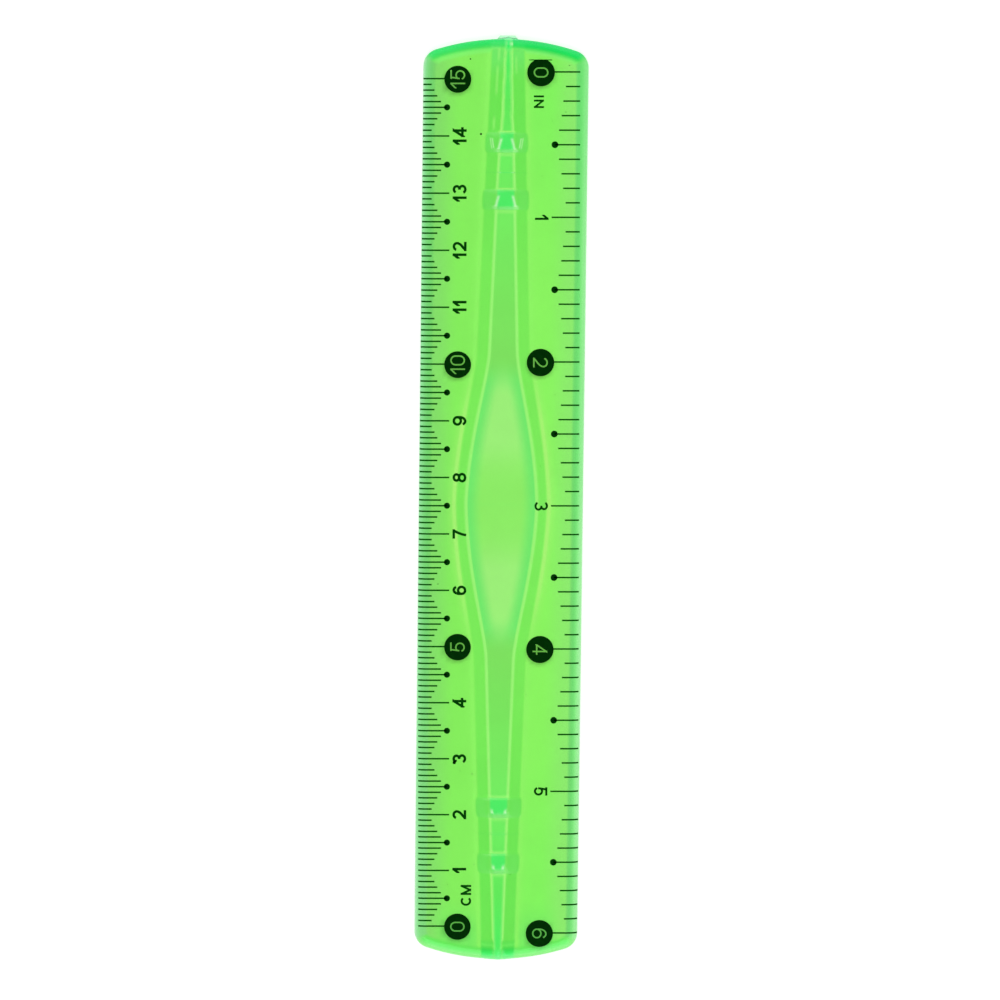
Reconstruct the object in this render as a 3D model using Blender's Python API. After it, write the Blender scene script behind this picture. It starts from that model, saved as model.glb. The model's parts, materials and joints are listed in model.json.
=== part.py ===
"""Flexible ruler: one soft, clear green plastic moulding that bends flatwise and springs back.

Metres, +Z up. The ruler lies on its flat underside at z = 0 with its printed face up and its length
along Y, the 15 cm end towards +Y and the centimetre edge at -X. The origin is the middle of the
bounding box's underside.

The real object is a single piece of plastic that bends anywhere along its length. Here it is a row of
short lengths of that moulding, one for each centimetre of the scale, parted at the half-centimetre
marks. Each length turns about its neighbour on a line across the ruler, at half the spine's height.
Its object has its origin on that line, and it hangs on its neighbour by parenting.
"""
import math
from dataclasses import dataclass

import bmesh
import bpy
from mathutils import Vector

MM = 0.001

# The plate: a flat strip with bowed ends, round corners and a rounded rim
PLATE_LENGTH = 163.0 * MM
PLATE_WIDTH = 29.0 * MM
PLATE_THICKNESS = 2.0 * MM
END_BOW_RADIUS = 40.0 * MM
CORNER_RADIUS = 3.1 * MM
RIM_WIDTH = 1.9 * MM
RIM_EDGE_HEIGHT = 1.0 * MM
UNDERSIDE_BREAK = 0.2 * MM

# The spine: a raised band along the middle, widest at mid-length and tapering to both ends
SPINE_RISE = 0.6 * MM
SPINE_CROWN = 0.2 * MM
SPINE_HALF_WIDTH_MIDDLE = 3.35 * MM
SPINE_HALF_WIDTH_END = 0.65 * MM
SPINE_FLANK_WIDTH = 2.65 * MM

# The thumb pad: the almond-shaped swelling in the spine's middle, with a steeper flank
PAD_HALF_LENGTH = 27.0 * MM
PAD_SWELL = 2.95 * MM
PAD_FLANK_NARROWING = 0.5 * MM
PAD_FULLNESS_SHARE = 1.5

# The collars: four swollen bands across the spine, two near each end
COLLAR_PLACES = (53.8 * MM, 63.8 * MM)
COLLAR_LENGTH = 3.9 * MM
COLLAR_RISE = 0.3 * MM
COLLAR_SWELL = 0.3 * MM
COLLAR_FOOT_SWELL = 0.45 * MM

# The moulding gate's stub on the 15 cm end
STUB_LENGTH = 0.6 * MM
STUB_ROOT = 0.6 * MM
STUB_BASE_WIDTH = 3.6 * MM
STUB_TIP_WIDTH = 2.6 * MM
STUB_THICKNESS = 0.8 * MM
STUB_LIFT = 0.25 * MM
STUB_SIDE_STEP = 0.3 * MM

# The bending lines: one at each half-centimetre mark of the scale
FLEX_PITCH = 10.0 * MM
SCALE_SHIFT = -0.45 * MM
FLEX_GAP = 0.52 * MM

# How finely the moulded surface is laid out
ROW_SPACING = 1.6 * MM
CREST_SHARES = (0.0, 0.3, 0.6, 0.85)
FLANK_SHARES = (0.0, 0.12, 0.25, 0.5, 0.75, 0.88)
PLATE_SHARES = (0.0, 0.3, 0.65)
COLLAR_ROW_SHARES = (-1.0, -0.85, -0.5, 0.0, 0.5, 0.85, 1.0)
BOWING_SHARES = (0.25, 0.5, 0.75)
END_FLAT_SHARES = (0.0, 0.5)
RIM_STEPS = 5
FLANK_ROUND_SHARE = 0.25
SMOOTH_ANGLE = math.radians(30)

# Green plastic, as the photograph shows it
GREEN = (0.25, 0.87, 0.12, 1.0)
GLOSS_ROUGHNESS = 0.22

PLATE_MIDDLE_Y = -STUB_LENGTH / 2
HALF_LENGTH = PLATE_LENGTH / 2
HALF_WIDTH = PLATE_WIDTH / 2
CORNER_X = HALF_WIDTH - CORNER_RADIUS
BOW_CENTRE_Y = HALF_LENGTH - END_BOW_RADIUS
CORNER_REACH = math.sqrt((END_BOW_RADIUS - CORNER_RADIUS) ** 2 - CORNER_X ** 2)
CORNER_Y = BOW_CENTRE_Y + CORNER_REACH
BOWED_DEPTH = HALF_LENGTH - CORNER_Y
FLEX_AXIS_HEIGHT = (PLATE_THICKNESS + SPINE_RISE + SPINE_CROWN) / 2


@dataclass(frozen=True)
class Row:
    """One row of surface points across the ruler, straight or bowed like the end that it nears."""
    end: int
    depth: float
    bow_share: float


def clear_scene():
    """Remove whatever the scene holds, so that the script always starts from nothing."""
    for old in list(bpy.data.objects):
        bpy.data.objects.remove(old, do_unlink=True)


def make_collection(name):
    """Add a collection to the scene."""
    collection = bpy.data.collections.new(name)
    bpy.context.scene.collection.children.link(collection)
    return collection


def make_plastic():
    """Soft, clear, glossy green plastic."""
    material = bpy.data.materials.new("clear_green_plastic")
    material.use_nodes = True
    shader = material.node_tree.nodes["Principled BSDF"]
    shader.inputs["Base Color"].default_value = GREEN
    shader.inputs["Roughness"].default_value = GLOSS_ROUGHNESS
    shader.inputs["Metallic"].default_value = 0.0
    return material


def flex_lines():
    """Places along Y of the bending lines, from the 0 cm end to the 15 cm end."""
    count = int(PLATE_LENGTH / FLEX_PITCH) - 1
    middle = PLATE_MIDDLE_Y + SCALE_SHIFT
    return [middle + (index - (count - 1) / 2) * FLEX_PITCH for index in range(count)]


def bow_drop(x, inset):
    """How far a bowed end has fallen back at x from its furthest point."""
    radius = END_BOW_RADIUS - inset
    return radius - math.sqrt(radius ** 2 - x ** 2)


def row_half_width(row, inset):
    """Half the plate's width along a row, which the round corner cuts short near an end."""
    row_radius = END_BOW_RADIUS - inset
    corner_radius = CORNER_RADIUS - inset
    reach = row.depth + CORNER_REACH
    apart = math.hypot(CORNER_X, reach)
    along = (row_radius ** 2 - corner_radius ** 2 + apart ** 2) / (2 * apart)
    across = math.sqrt(max(row_radius ** 2 - along ** 2, 0.0))
    beyond_corner = (reach * along - CORNER_X * across) / apart > reach
    if row.bow_share == 1.0 and beyond_corner:
        return (CORNER_X * along + reach * across) / apart
    return HALF_WIDTH - inset


def edge_distance(x, y):
    """Distance from a point of the plate to the nearest edge of its outline."""
    x = abs(x)
    y = abs(y - PLATE_MIDDLE_Y)
    if y > CORNER_Y and CORNER_X * (y - CORNER_Y) < CORNER_REACH * (x - CORNER_X):
        return CORNER_RADIUS - math.hypot(x - CORNER_X, y - CORNER_Y)
    if y > BOW_CENTRE_Y:
        return min(HALF_WIDTH - x, END_BOW_RADIUS - math.hypot(x, y - BOW_CENTRE_Y))
    return HALF_WIDTH - x


def rim_drop(distance):
    """How far the rounded rim has fallen below the plate's face at a distance from the edge."""
    share = min(max(1 - distance / RIM_WIDTH, 0.0), 1.0)
    return (PLATE_THICKNESS - RIM_EDGE_HEIGHT) * (1 - math.sqrt(1 - share ** 2))


def collar_share(place):
    """How much of a collar stands at this distance from mid-length: 1 on its middle, 0 beside it."""
    nearest = min(abs(place - middle) for middle in COLLAR_PLACES)
    return max(1 - (nearest / (COLLAR_LENGTH / 2)) ** 4, 0.0)


def pad_share(place):
    """How much of the thumb pad stands at this distance from mid-length."""
    return max(1 - (place / PAD_HALF_LENGTH) ** 2, 0.0) ** PAD_FULLNESS_SHARE


def spine_section(y):
    """Half widths of the spine's crest and foot, and its rise, at a place along the ruler."""
    place = abs(y - PLATE_MIDDLE_Y)
    taper = (SPINE_HALF_WIDTH_MIDDLE - SPINE_HALF_WIDTH_END) * place / HALF_LENGTH
    pad = pad_share(place)
    collar = collar_share(place)
    crest = SPINE_HALF_WIDTH_MIDDLE - taper + PAD_SWELL * pad + COLLAR_SWELL * collar
    flank = SPINE_FLANK_WIDTH - PAD_FLANK_NARROWING * pad
    foot = crest + flank + (COLLAR_FOOT_SWELL - COLLAR_SWELL) * collar
    return crest, foot, SPINE_RISE + COLLAR_RISE * collar


def rounded_ramp(share):
    """A straight slope from 0 to 1 with a rounded foot and a rounded shoulder."""
    blend = FLANK_ROUND_SHARE
    if share < blend:
        return share ** 2 / (2 * blend * (1 - blend))
    if share > 1 - blend:
        return 1 - (1 - share) ** 2 / (2 * blend * (1 - blend))
    return (share - blend / 2) / (1 - blend)


def spine_height(x, y):
    """Height of the spine over the plate's face."""
    crest, foot, rise = spine_section(y)
    x = abs(x)
    if x <= crest:
        return rise + SPINE_CROWN * (1 - (x / crest) ** 2)
    if x >= foot:
        return 0.0
    return rise * rounded_ramp((foot - x) / (foot - crest))


def surface_height(x, y):
    """Height of the printed face over the underside."""
    return PLATE_THICKNESS + spine_height(x, y) - rim_drop(edge_distance(x, y))


def rim_distances():
    """Distances from the edge at which the rim's curve is laid out, the edge itself last."""
    quarter = math.pi / 2
    return [RIM_WIDTH * (1 - math.sin(quarter * step / RIM_STEPS)) for step in range(RIM_STEPS + 1)]


def half_columns(row, inset):
    """Distances from the middle at which a row has its points, out to the plate's edge."""
    y = PLATE_MIDDLE_Y + row.end * (HALF_LENGTH - row.depth)
    crest, foot, _ = spine_section(y)
    edge = row_half_width(row, inset)
    columns = [crest * share for share in CREST_SHARES]
    columns += [crest + (foot - crest) * share for share in FLANK_SHARES]
    columns += [foot + (edge - RIM_WIDTH - foot) * share for share in PLATE_SHARES]
    columns += [edge - distance for distance in rim_distances()]
    return columns


def row_plan(row, inset=0.0):
    """Plan positions of a row's points from the left edge to the right, drawn in by an inset."""
    half = half_columns(row, inset)
    middle_depth = row.depth + inset * row.bow_share
    points = []
    for x in [-distance for distance in reversed(half[1:])] + half:
        depth = middle_depth + row.bow_share * bow_drop(x, inset)
        points.append((x, PLATE_MIDDLE_Y + row.end * (HALF_LENGTH - depth)))
    return points


def straight_row(y):
    """A straight row across the ruler at a place along its length."""
    end = 1 if y > PLATE_MIDDLE_Y else -1
    return Row(end, HALF_LENGTH - abs(y - PLATE_MIDDLE_Y), 0.0)


def inner_rows(start, stop):
    """Rows of a length between two bending lines, closer together over a collar."""
    count = math.ceil((stop - start) / ROW_SPACING)
    places = [start + (stop - start) * index / count for index in range(count + 1)]
    collars = []
    for middle in [side * place for place in COLLAR_PLACES for side in (-1, 1)]:
        if start < PLATE_MIDDLE_Y + middle < stop:
            collars.append(PLATE_MIDDLE_Y + middle)
    kept = []
    for place in places:
        beside = all(abs(place - collar) > COLLAR_LENGTH / 2 + FLEX_GAP for collar in collars)
        if beside or place in (start, stop):
            kept.append(place)
    for collar in collars:
        for share in COLLAR_ROW_SHARES:
            place = collar + COLLAR_LENGTH / 2 * share
            if start + FLEX_GAP < place < stop - FLEX_GAP:
                kept.append(place)
    return [straight_row(place) for place in sorted(kept)]


def end_rows(line, end):
    """Rows from a bending line out to a bowed end, where they take on the end's bow."""
    first = straight_row(line)
    rows = [first]
    for share in BOWING_SHARES:
        bow_share = share ** 2 * (3 - 2 * share)
        rows.append(Row(end, first.depth + (BOWED_DEPTH - first.depth) * share, bow_share))
    for share in END_FLAT_SHARES:
        rows.append(Row(end, BOWED_DEPTH + (RIM_WIDTH - BOWED_DEPTH) * share, 1.0))
    rows += [Row(end, distance, 1.0) for distance in rim_distances()]
    return rows if end > 0 else list(reversed(rows))


def join_flat_faces(bm, faces):
    """Join faces that lie in one plane into a single face, with no spare points on its straight edges."""
    corners = {vert for face in faces for vert in face.verts}
    bmesh.ops.dissolve_faces(bm, faces=faces, use_verts=False)
    spare = [vert for vert in corners if vert.is_valid and len(vert.link_edges) == 2]
    bmesh.ops.dissolve_verts(bm, verts=spare)


def moulded_length(rows):
    """The solid between the first and the last row: the moulded face on top, a flat underside."""
    upper = [row_plan(row) for row in rows]
    lower = [row_plan(row, UNDERSIDE_BREAK) for row in rows]
    across = len(upper[0])
    bm = bmesh.new()
    bmesh.ops.create_grid(bm, x_segments=across - 1, y_segments=len(rows) - 1, size=HALF_WIDTH)
    bm.verts.ensure_lookup_table()
    top = list(bm.verts)
    floor = bmesh.ops.duplicate(bm, geom=bm.verts[:] + bm.edges[:] + bm.faces[:])
    floor_vert = floor["vert_map"]
    for index, vert in enumerate(top):
        row, column = divmod(index, across)
        x, y = upper[row][column]
        low_x, low_y = lower[row][column]
        vert.co = Vector((x, y, surface_height(x, y)))
        floor_vert[vert].co = Vector((low_x, low_y, 0.0))
    rims = [edge for edge in bm.edges if edge.is_boundary]
    bmesh.ops.bridge_loops(bm, edges=rims)
    bmesh.ops.recalc_face_normals(bm, faces=bm.faces[:])
    underside = [face for face in bm.faces if all(vert.co.z == 0.0 for vert in face.verts)]
    join_flat_faces(bm, underside)
    return bm


def join_parting_faces(bm, lines):
    """Make each flat face at a bending line a single face."""
    for line in lines:
        flat = [face for face in bm.faces if all(abs(vert.co.y - line) < FLEX_GAP / 4 for vert in face.verts)]
        join_flat_faces(bm, flat)


def make_object(name, bm, collection, origin, material):
    """Turn a mesh in world places into an object with its own origin."""
    bmesh.ops.translate(bm, verts=bm.verts, vec=-origin)
    mesh = bpy.data.meshes.new(name)
    bm.to_mesh(mesh)
    bm.free()
    mesh.shade_smooth()
    mesh.set_sharp_from_angle(angle=SMOOTH_ANGLE)
    mesh.materials.append(material)
    made = bpy.data.objects.new(name, mesh)
    made.location = origin
    collection.objects.link(made)
    return made


def make_lengths(collection, material):
    """The ruler's lengths, from the 0 cm end to the 15 cm end, each on its bending line."""
    lines = flex_lines()
    root = len(lines) // 2
    lengths = []
    for index in range(len(lines) + 1):
        start = lines[index - 1] + FLEX_GAP / 2 if index > 0 else None
        stop = lines[index] - FLEX_GAP / 2 if index < len(lines) else None
        if start is None:
            rows = end_rows(stop, -1)
        elif stop is None:
            rows = end_rows(start, 1)
        else:
            rows = inner_rows(start, stop)
        bm = moulded_length(rows)
        join_parting_faces(bm, [place for place in (start, stop) if place is not None])
        origin = Vector((0.0, 0.0, 0.0))
        if index != root:
            origin = Vector((0.0, lines[index] if index < root else lines[index - 1], FLEX_AXIS_HEIGHT))
        lengths.append(make_object(f"strip_{index:02d}cm", bm, collection, origin, material))
    hang_on_neighbours(lengths, root)
    return lengths


def hang_on_neighbours(lengths, root):
    """Parent each length to its neighbour on the side of the middle one."""
    places = [length.location.copy() for length in lengths]
    for index, length in enumerate(lengths):
        if index == root:
            continue
        neighbour = index + 1 if index < root else index - 1
        length.parent = lengths[neighbour]
        length.location = places[index] - places[neighbour]


def make_stub(collection, material):
    """The little tapered stub that the moulding gate left, rooted in the 15 cm end."""
    bm = bmesh.new()
    bmesh.ops.create_cube(bm, size=1.0)
    base_y = PLATE_MIDDLE_Y + HALF_LENGTH - STUB_ROOT
    for vert in bm.verts:
        outer = vert.co.y > 0
        width = STUB_TIP_WIDTH if outer else STUB_BASE_WIDTH
        y = base_y + (STUB_ROOT + STUB_LENGTH if outer else 0.0)
        z = STUB_LIFT + (STUB_THICKNESS if vert.co.z > 0 else 0.0)
        vert.co = Vector((STUB_SIDE_STEP + vert.co.x * width, y, z))
    stub = make_object("stub_root", bm, collection, Vector((0.0, 0.0, 0.0)), material)
    stub.hide_render = True
    stub.display_type = "WIRE"
    return stub


def join_stub(length, stub):
    """Make the stub one piece with the length that it stands on."""
    union = length.modifiers.new("stub", "BOOLEAN")
    union.operation = "UNION"
    union.solver = "EXACT"
    union.object = stub


def main():
    """Build the ruler."""
    clear_scene()
    ruler = make_collection("flexible_ruler")
    cutters = make_collection("cutters")
    plastic = make_plastic()
    lengths = make_lengths(ruler, plastic)
    join_stub(lengths[-1], make_stub(cutters, plastic))


main()
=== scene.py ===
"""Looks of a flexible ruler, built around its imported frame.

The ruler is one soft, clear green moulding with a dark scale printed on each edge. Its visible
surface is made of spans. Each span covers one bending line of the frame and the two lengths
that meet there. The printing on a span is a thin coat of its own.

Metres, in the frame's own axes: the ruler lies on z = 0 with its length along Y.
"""

import functools
import json
import logging
import math
from collections.abc import Callable, Iterable, Sequence
from dataclasses import dataclass, field
from enum import Enum
from typing import NamedTuple

import bmesh
import bpy
import numpy as np
from bmesh.types import BMEdge, BMesh, BMFace, BMVert
from bpy.types import NodeSocket as Socket
from mathutils import Matrix, Vector

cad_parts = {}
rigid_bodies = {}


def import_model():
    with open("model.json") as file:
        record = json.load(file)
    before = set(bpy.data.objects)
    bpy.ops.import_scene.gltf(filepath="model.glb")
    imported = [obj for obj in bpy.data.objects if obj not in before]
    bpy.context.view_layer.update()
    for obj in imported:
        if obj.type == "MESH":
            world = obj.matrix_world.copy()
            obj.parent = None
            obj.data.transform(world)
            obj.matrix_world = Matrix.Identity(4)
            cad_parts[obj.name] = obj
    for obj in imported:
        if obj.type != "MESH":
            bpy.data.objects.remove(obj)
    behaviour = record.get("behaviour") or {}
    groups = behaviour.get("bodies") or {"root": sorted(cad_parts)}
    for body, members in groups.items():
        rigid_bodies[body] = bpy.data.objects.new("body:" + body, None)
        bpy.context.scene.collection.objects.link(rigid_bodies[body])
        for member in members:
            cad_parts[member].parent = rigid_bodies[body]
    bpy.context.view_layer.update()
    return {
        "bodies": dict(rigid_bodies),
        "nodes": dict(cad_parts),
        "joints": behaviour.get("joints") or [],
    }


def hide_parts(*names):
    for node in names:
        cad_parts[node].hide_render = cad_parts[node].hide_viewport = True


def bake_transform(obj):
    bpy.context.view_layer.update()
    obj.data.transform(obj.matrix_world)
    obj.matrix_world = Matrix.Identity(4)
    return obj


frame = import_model()

Pair = tuple[float, float]

MM = 0.001
LOG = logging.getLogger("flexible_ruler")

# The shortest length, in metres, that a direction is taken from.
SHORTEST = 1e-6


def linear(red: float, green: float, blue: float) -> tuple[float, float, float, float]:
    """Turn a colour as it shows on a screen, 0 to 255, into the light that a shader works in.

    Args:
        red: Red, from 0 to 255.
        green: Green, from 0 to 255.
        blue: Blue, from 0 to 255.

    Returns:
        The colour with an alpha of 1.
    """
    shares = [value / 255 for value in (red, green, blue)]
    light = [s / 12.92 if s <= 0.04045 else ((s + 0.055) / 1.055) ** 2.4 for s in shares]
    return light[0], light[1], light[2], 1.0


def smooth_share(share: float) -> float:
    """Ease a share of 0 to 1 in and out."""
    share = min(max(share, 0.0), 1.0)
    return share * share * (3 - 2 * share)


# The moulding's form


@dataclass(frozen=True)
class Row:
    """One row of surface points across the ruler, straight or bowed like the end that it nears."""

    end: int
    depth: float
    bow_share: float


@dataclass(frozen=True)
class RulerForm:
    """The moulding's sizes, and the outline and heights that follow from them."""

    length: float = 163.0 * MM
    width: float = 29.0 * MM
    thickness: float = 2.0 * MM
    end_bow_radius: float = 40.0 * MM
    corner_radius: float = 3.1 * MM
    rim_width: float = 1.9 * MM
    rim_edge_height: float = 1.0 * MM
    wall_slack: float = 0.05 * MM
    underside_break: float = 0.2 * MM
    spine_rise: float = 0.6 * MM
    spine_crown: float = 0.2 * MM
    spine_half_width_middle: float = 3.35 * MM
    spine_half_width_end: float = 0.65 * MM
    spine_flank_width: float = 2.65 * MM
    flank_round_share: float = 0.25
    pad_half_length: float = 27.0 * MM
    pad_swell: float = 2.95 * MM
    pad_flank_narrowing: float = 0.5 * MM
    pad_fullness: float = 1.5
    pad_shift: float = -0.5 * MM
    spine_drift_middle: float = 0.1 * MM
    spine_drift_end: float = 0.28 * MM
    collar_places: tuple[float, ...] = (53.8 * MM, 63.8 * MM)
    collar_shift: float = -0.35 * MM
    collar_length: float = 3.5 * MM
    collar_rise: float = 0.3 * MM
    collar_swell: float = 0.15 * MM
    collar_foot_swell: float = 0.25 * MM
    stub_length: float = 0.6 * MM
    stub_base_width: float = 3.6 * MM
    stub_tip_width: float = 2.6 * MM
    stub_side_step: float = 0.3 * MM
    stub_underside: float = 0.12 * MM
    stub_top: float = 1.05 * MM
    stub_crown_share: float = 0.45
    stub_root_reach: float = 0.125 * MM

    @property
    def middle_y(self) -> float:
        """Place of the plate's middle along the ruler."""
        return -self.stub_length / 2

    @property
    def half_length(self) -> float:
        """Half the plate's length."""
        return self.length / 2

    @property
    def half_width(self) -> float:
        """Half the plate's width."""
        return self.width / 2

    @property
    def corner_x(self) -> float:
        """Distance of a corner's centre from the middle line."""
        return self.half_width - self.corner_radius

    @property
    def bow_centre(self) -> float:
        """Distance of an end bow's centre from mid-length."""
        return self.half_length - self.end_bow_radius

    @property
    def corner_reach(self) -> float:
        """Distance of a corner's centre past the end bow's centre."""
        return math.sqrt((self.end_bow_radius - self.corner_radius) ** 2 - self.corner_x**2)

    @property
    def corner_y(self) -> float:
        """Distance of a corner's centre from mid-length."""
        return self.bow_centre + self.corner_reach

    @property
    def bowed_depth(self) -> float:
        """Depth from the end's furthest point at which rows have the end's full bow."""
        return self.half_length - self.corner_y

    def bow_drop(self, x: float, inset: float) -> float:
        """How far a bowed end has fallen back at x from its furthest point."""
        radius = self.end_bow_radius - inset
        return radius - math.sqrt(radius**2 - x**2)

    def row_half_width(self, row: Row, inset: float) -> float:
        """Find half the plate's width along a row, which a round corner cuts short near an end.

        Args:
            row: The row.
            inset: How far the outline is drawn in.

        Returns:
            The half width.
        """
        row_radius = self.end_bow_radius - inset
        corner_radius = self.corner_radius - inset
        reach = row.depth + self.corner_reach
        apart = math.hypot(self.corner_x, reach)
        along = (row_radius**2 - corner_radius**2 + apart**2) / (2 * apart)
        across = math.sqrt(max(row_radius**2 - along**2, 0.0))
        beyond_corner = (reach * along - self.corner_x * across) / apart > reach
        if row.bow_share == 1.0 and beyond_corner:
            return (self.corner_x * along + reach * across) / apart
        return self.half_width - inset

    def in_corner(self, x: float, y: float) -> bool:
        """Tell whether the nearest edge of a point is one of the round corners."""
        x, y = abs(x) - self.corner_x, abs(y - self.middle_y) - self.corner_y
        return y > 0.0 and self.corner_x * y < self.corner_reach * x

    def edge_distance(self, x: float, y: float) -> float:
        """Measure from a point of the plate to the nearest edge of its outline.

        Args:
            x: Place across the ruler.
            y: Place along the ruler.

        Returns:
            The distance, which grows inwards.
        """
        corner = self.in_corner(x, y)
        x, y = abs(x), abs(y - self.middle_y)
        if corner:
            return self.corner_radius - math.hypot(x - self.corner_x, y - self.corner_y)
        if y > self.bow_centre:
            to_bow = self.end_bow_radius - math.hypot(x, y - self.bow_centre)
            return min(self.half_width - x, to_bow)
        return self.half_width - x

    def edge_facing(self, x: float, y: float) -> float:
        """Find how far the nearest edge of a point faces along the ruler.

        Args:
            x: Place across the ruler.
            y: Place along the ruler.

        Returns:
            1 at the 15 cm end, 0 at the sides and -1 at the zero end.
        """
        end = 1.0 if y > self.middle_y else -1.0
        corner = self.in_corner(x, y)
        x, y = abs(x), abs(y - self.middle_y)
        if corner:
            return end * (y - self.corner_y) / max(math.hypot(x - self.corner_x, y - self.corner_y), SHORTEST)
        reach = y - self.bow_centre
        if reach > 0 and self.end_bow_radius - math.hypot(x, reach) < self.half_width - x:
            return end * reach / math.hypot(x, reach)
        return 0.0

    def rim_drop(self, distance: float) -> float:
        """How far the rounded rim has fallen below the plate's face at a distance from the edge."""
        share = min(max(1 - distance / self.rim_width, 0.0), 1.0)
        return (self.thickness - self.rim_edge_height) * (1 - math.sqrt(1 - share**2))

    def on_wall(self, point: Vector) -> bool:
        """Tell whether a point of the moulding is on its upright edge."""
        upright = self.underside_break / 2 < point.z < self.rim_edge_height + self.wall_slack
        return upright and self.edge_distance(point.x, point.y) < self.wall_slack

    def on_stub(self, point: Vector) -> bool:
        """Tell whether a point of the moulding belongs to the little stub or to its root."""
        beside = point.y > 0.0 and abs(point.x - self.stub_side_step) < self.stub_base_width / 2
        return beside and self.edge_distance(point.x, point.y) < self.stub_root_reach

    @property
    def collar_middles(self) -> list[float]:
        """Places of the four collars' middles along the ruler."""
        shift = self.middle_y + self.collar_shift
        return [side * place + shift for place in self.collar_places for side in (-1, 1)]

    def collar_offset(self, y: float) -> float:
        """Signed distance along the ruler from the middle of the nearest collar."""
        return min((y - middle for middle in self.collar_middles), key=abs)

    def collar_share(self, y: float) -> float:
        """How much of a collar stands at a place: 1 on its middle, 0 beside it."""
        return max(1 - (self.collar_offset(y) / (self.collar_length / 2)) ** 4, 0.0)

    def pad_share(self, y: float) -> float:
        """How much of the thumb pad stands at a place along the ruler."""
        place = (y - self.middle_y - self.pad_shift) / self.pad_half_length
        return max(1 - place**2, 0.0) ** self.pad_fullness

    def spine_centre(self, y: float) -> float:
        """Where the spine's middle lies across the ruler: a little to the right, more so at the ends."""
        return self.spine_drift_middle + self.spine_drift_end * ((y - self.middle_y) / self.half_length) ** 2

    def spine_section(self, y: float) -> tuple[float, float, float]:
        """Cut the spine across.

        Args:
            y: Place along the ruler.

        Returns:
            Half widths of the crest and of the foot, and the rise over the plate.
        """
        place = abs(y - self.middle_y)
        taper = (self.spine_half_width_middle - self.spine_half_width_end) * place / self.half_length
        pad, collar = self.pad_share(y), self.collar_share(y)
        crest = self.spine_half_width_middle - taper + self.pad_swell * pad
        crest += self.collar_swell * collar
        flank = self.spine_flank_width - self.pad_flank_narrowing * pad
        foot = crest + flank + (self.collar_foot_swell - self.collar_swell) * collar
        return crest, foot, self.spine_rise + self.collar_rise * collar

    def past_spine(self, x: float, y: float) -> Pair:
        """Measure how far a place lies outside the spine's lines.

        Args:
            x: Place across the ruler.
            y: Place along the ruler.

        Returns:
            The distances past the crest's edge and past the foot, below 0 inside them.
        """
        crest, foot, _ = self.spine_section(y)
        aside = abs(x - self.spine_centre(y))
        return aside - crest, aside - foot

    def rounded_ramp(self, share: float) -> float:
        """Shape a straight slope from 0 to 1 with a rounded foot and a rounded shoulder.

        Args:
            share: How far up the slope a place lies, 0 to 1.

        Returns:
            Its height, 0 to 1.
        """
        blend = self.flank_round_share
        if share < blend:
            return share**2 / (2 * blend * (1 - blend))
        if share > 1 - blend:
            return 1 - (1 - share) ** 2 / (2 * blend * (1 - blend))
        return (share - blend / 2) / (1 - blend)

    def spine_height(self, x: float, y: float) -> float:
        """Find the height of the spine over the plate's face.

        Args:
            x: Place across the ruler.
            y: Place along the ruler.

        Returns:
            The height, 0 beside the spine.
        """
        crest, foot, rise = self.spine_section(y)
        x = abs(x - self.spine_centre(y))
        if x <= crest:
            return rise + self.spine_crown * (1 - (x / crest) ** 2)
        if x >= foot:
            return 0.0
        return rise * self.rounded_ramp((foot - x) / (foot - crest))

    def height(self, x: float, y: float) -> float:
        """Height of the printed face over the underside."""
        return self.thickness + self.spine_height(x, y) - self.rim_drop(self.edge_distance(x, y))


@dataclass(frozen=True)
class Span:
    """The stretch of the ruler between two seams, with one bending line in it."""

    index: int
    start: float
    stop: float
    line: float
    bodies: tuple[str, str]
    nodes: tuple[str, str]
    end: int

    @property
    def blend_ends(self) -> Pair:
        """Places along the ruler about the span's bending line: its seams, a bowed end's missing seam taken
        as the other's mirror image.

        Returns:
            The nearer and the further place.
        """
        if self.end < 0:
            return 2 * self.line - self.stop, self.stop
        if self.end > 0:
            return self.start, 2 * self.line - self.start
        return self.start, self.stop


@dataclass
class SpanPlan:
    """Shares the ruler out into spans, one for each bending line of the frame."""

    form: RulerForm
    seam_step: float = 0.5 * MM

    def seam_between(self, line: float, next_line: float) -> float:
        """Place the seam between two bending lines: beside a mark, or on a collar's flat top.

        Args:
            line: The first bending line's place along the ruler.
            next_line: The next one's.

        Returns:
            The seam's place.
        """
        seam = (line + next_line) / 2 + self.seam_step
        offset = self.form.collar_offset(seam)
        return seam - offset if abs(offset) < self.form.collar_length / 2 else seam

    def spans(self, joints: Iterable[dict]) -> list[Span]:
        """Read the bending lines from the frame's joints.

        Args:
            joints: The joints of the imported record.

        Returns:
            The spans, from the 0 cm end to the 15 cm end.
        """
        along = sorted(joints, key=lambda joint: joint["pos_m"][1])
        lines = [joint["pos_m"][1] for joint in along]
        seams = [self.seam_between(a, b) for a, b in zip(lines, lines[1:])]
        bodies = sorted(frame["bodies"])
        nodes = sorted(frame["nodes"])
        far = self.form.half_length
        starts = [self.form.middle_y - far, *seams]
        stops = [*seams, self.form.middle_y + far]
        spans = []
        for index, (start, stop, line) in enumerate(zip(starts, stops, lines)):
            end = -1 if index == 0 else 1 if index == len(lines) - 1 else 0
            pair = bodies[index], bodies[index + 1]
            covered = nodes[index], nodes[index + 1]
            spans.append(Span(index, start, stop, line, pair, covered, end))
        return spans


# Shader building

Colour = tuple[float, float, float, float]
Ramp = tuple[tuple[float, Colour], ...]


class Fade(NamedTuple):
    """The two values between which something comes in or goes out."""

    start: float
    stop: float


class Band(NamedTuple):
    """A soft-edged band along a line, in millimetres."""

    centre: float
    half_width: float
    softness: float


class Mottle(NamedTuple):
    """Cloudy unevenness: how fine it is, in clouds to a metre, and how strong."""

    scale: float
    amount: float


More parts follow.
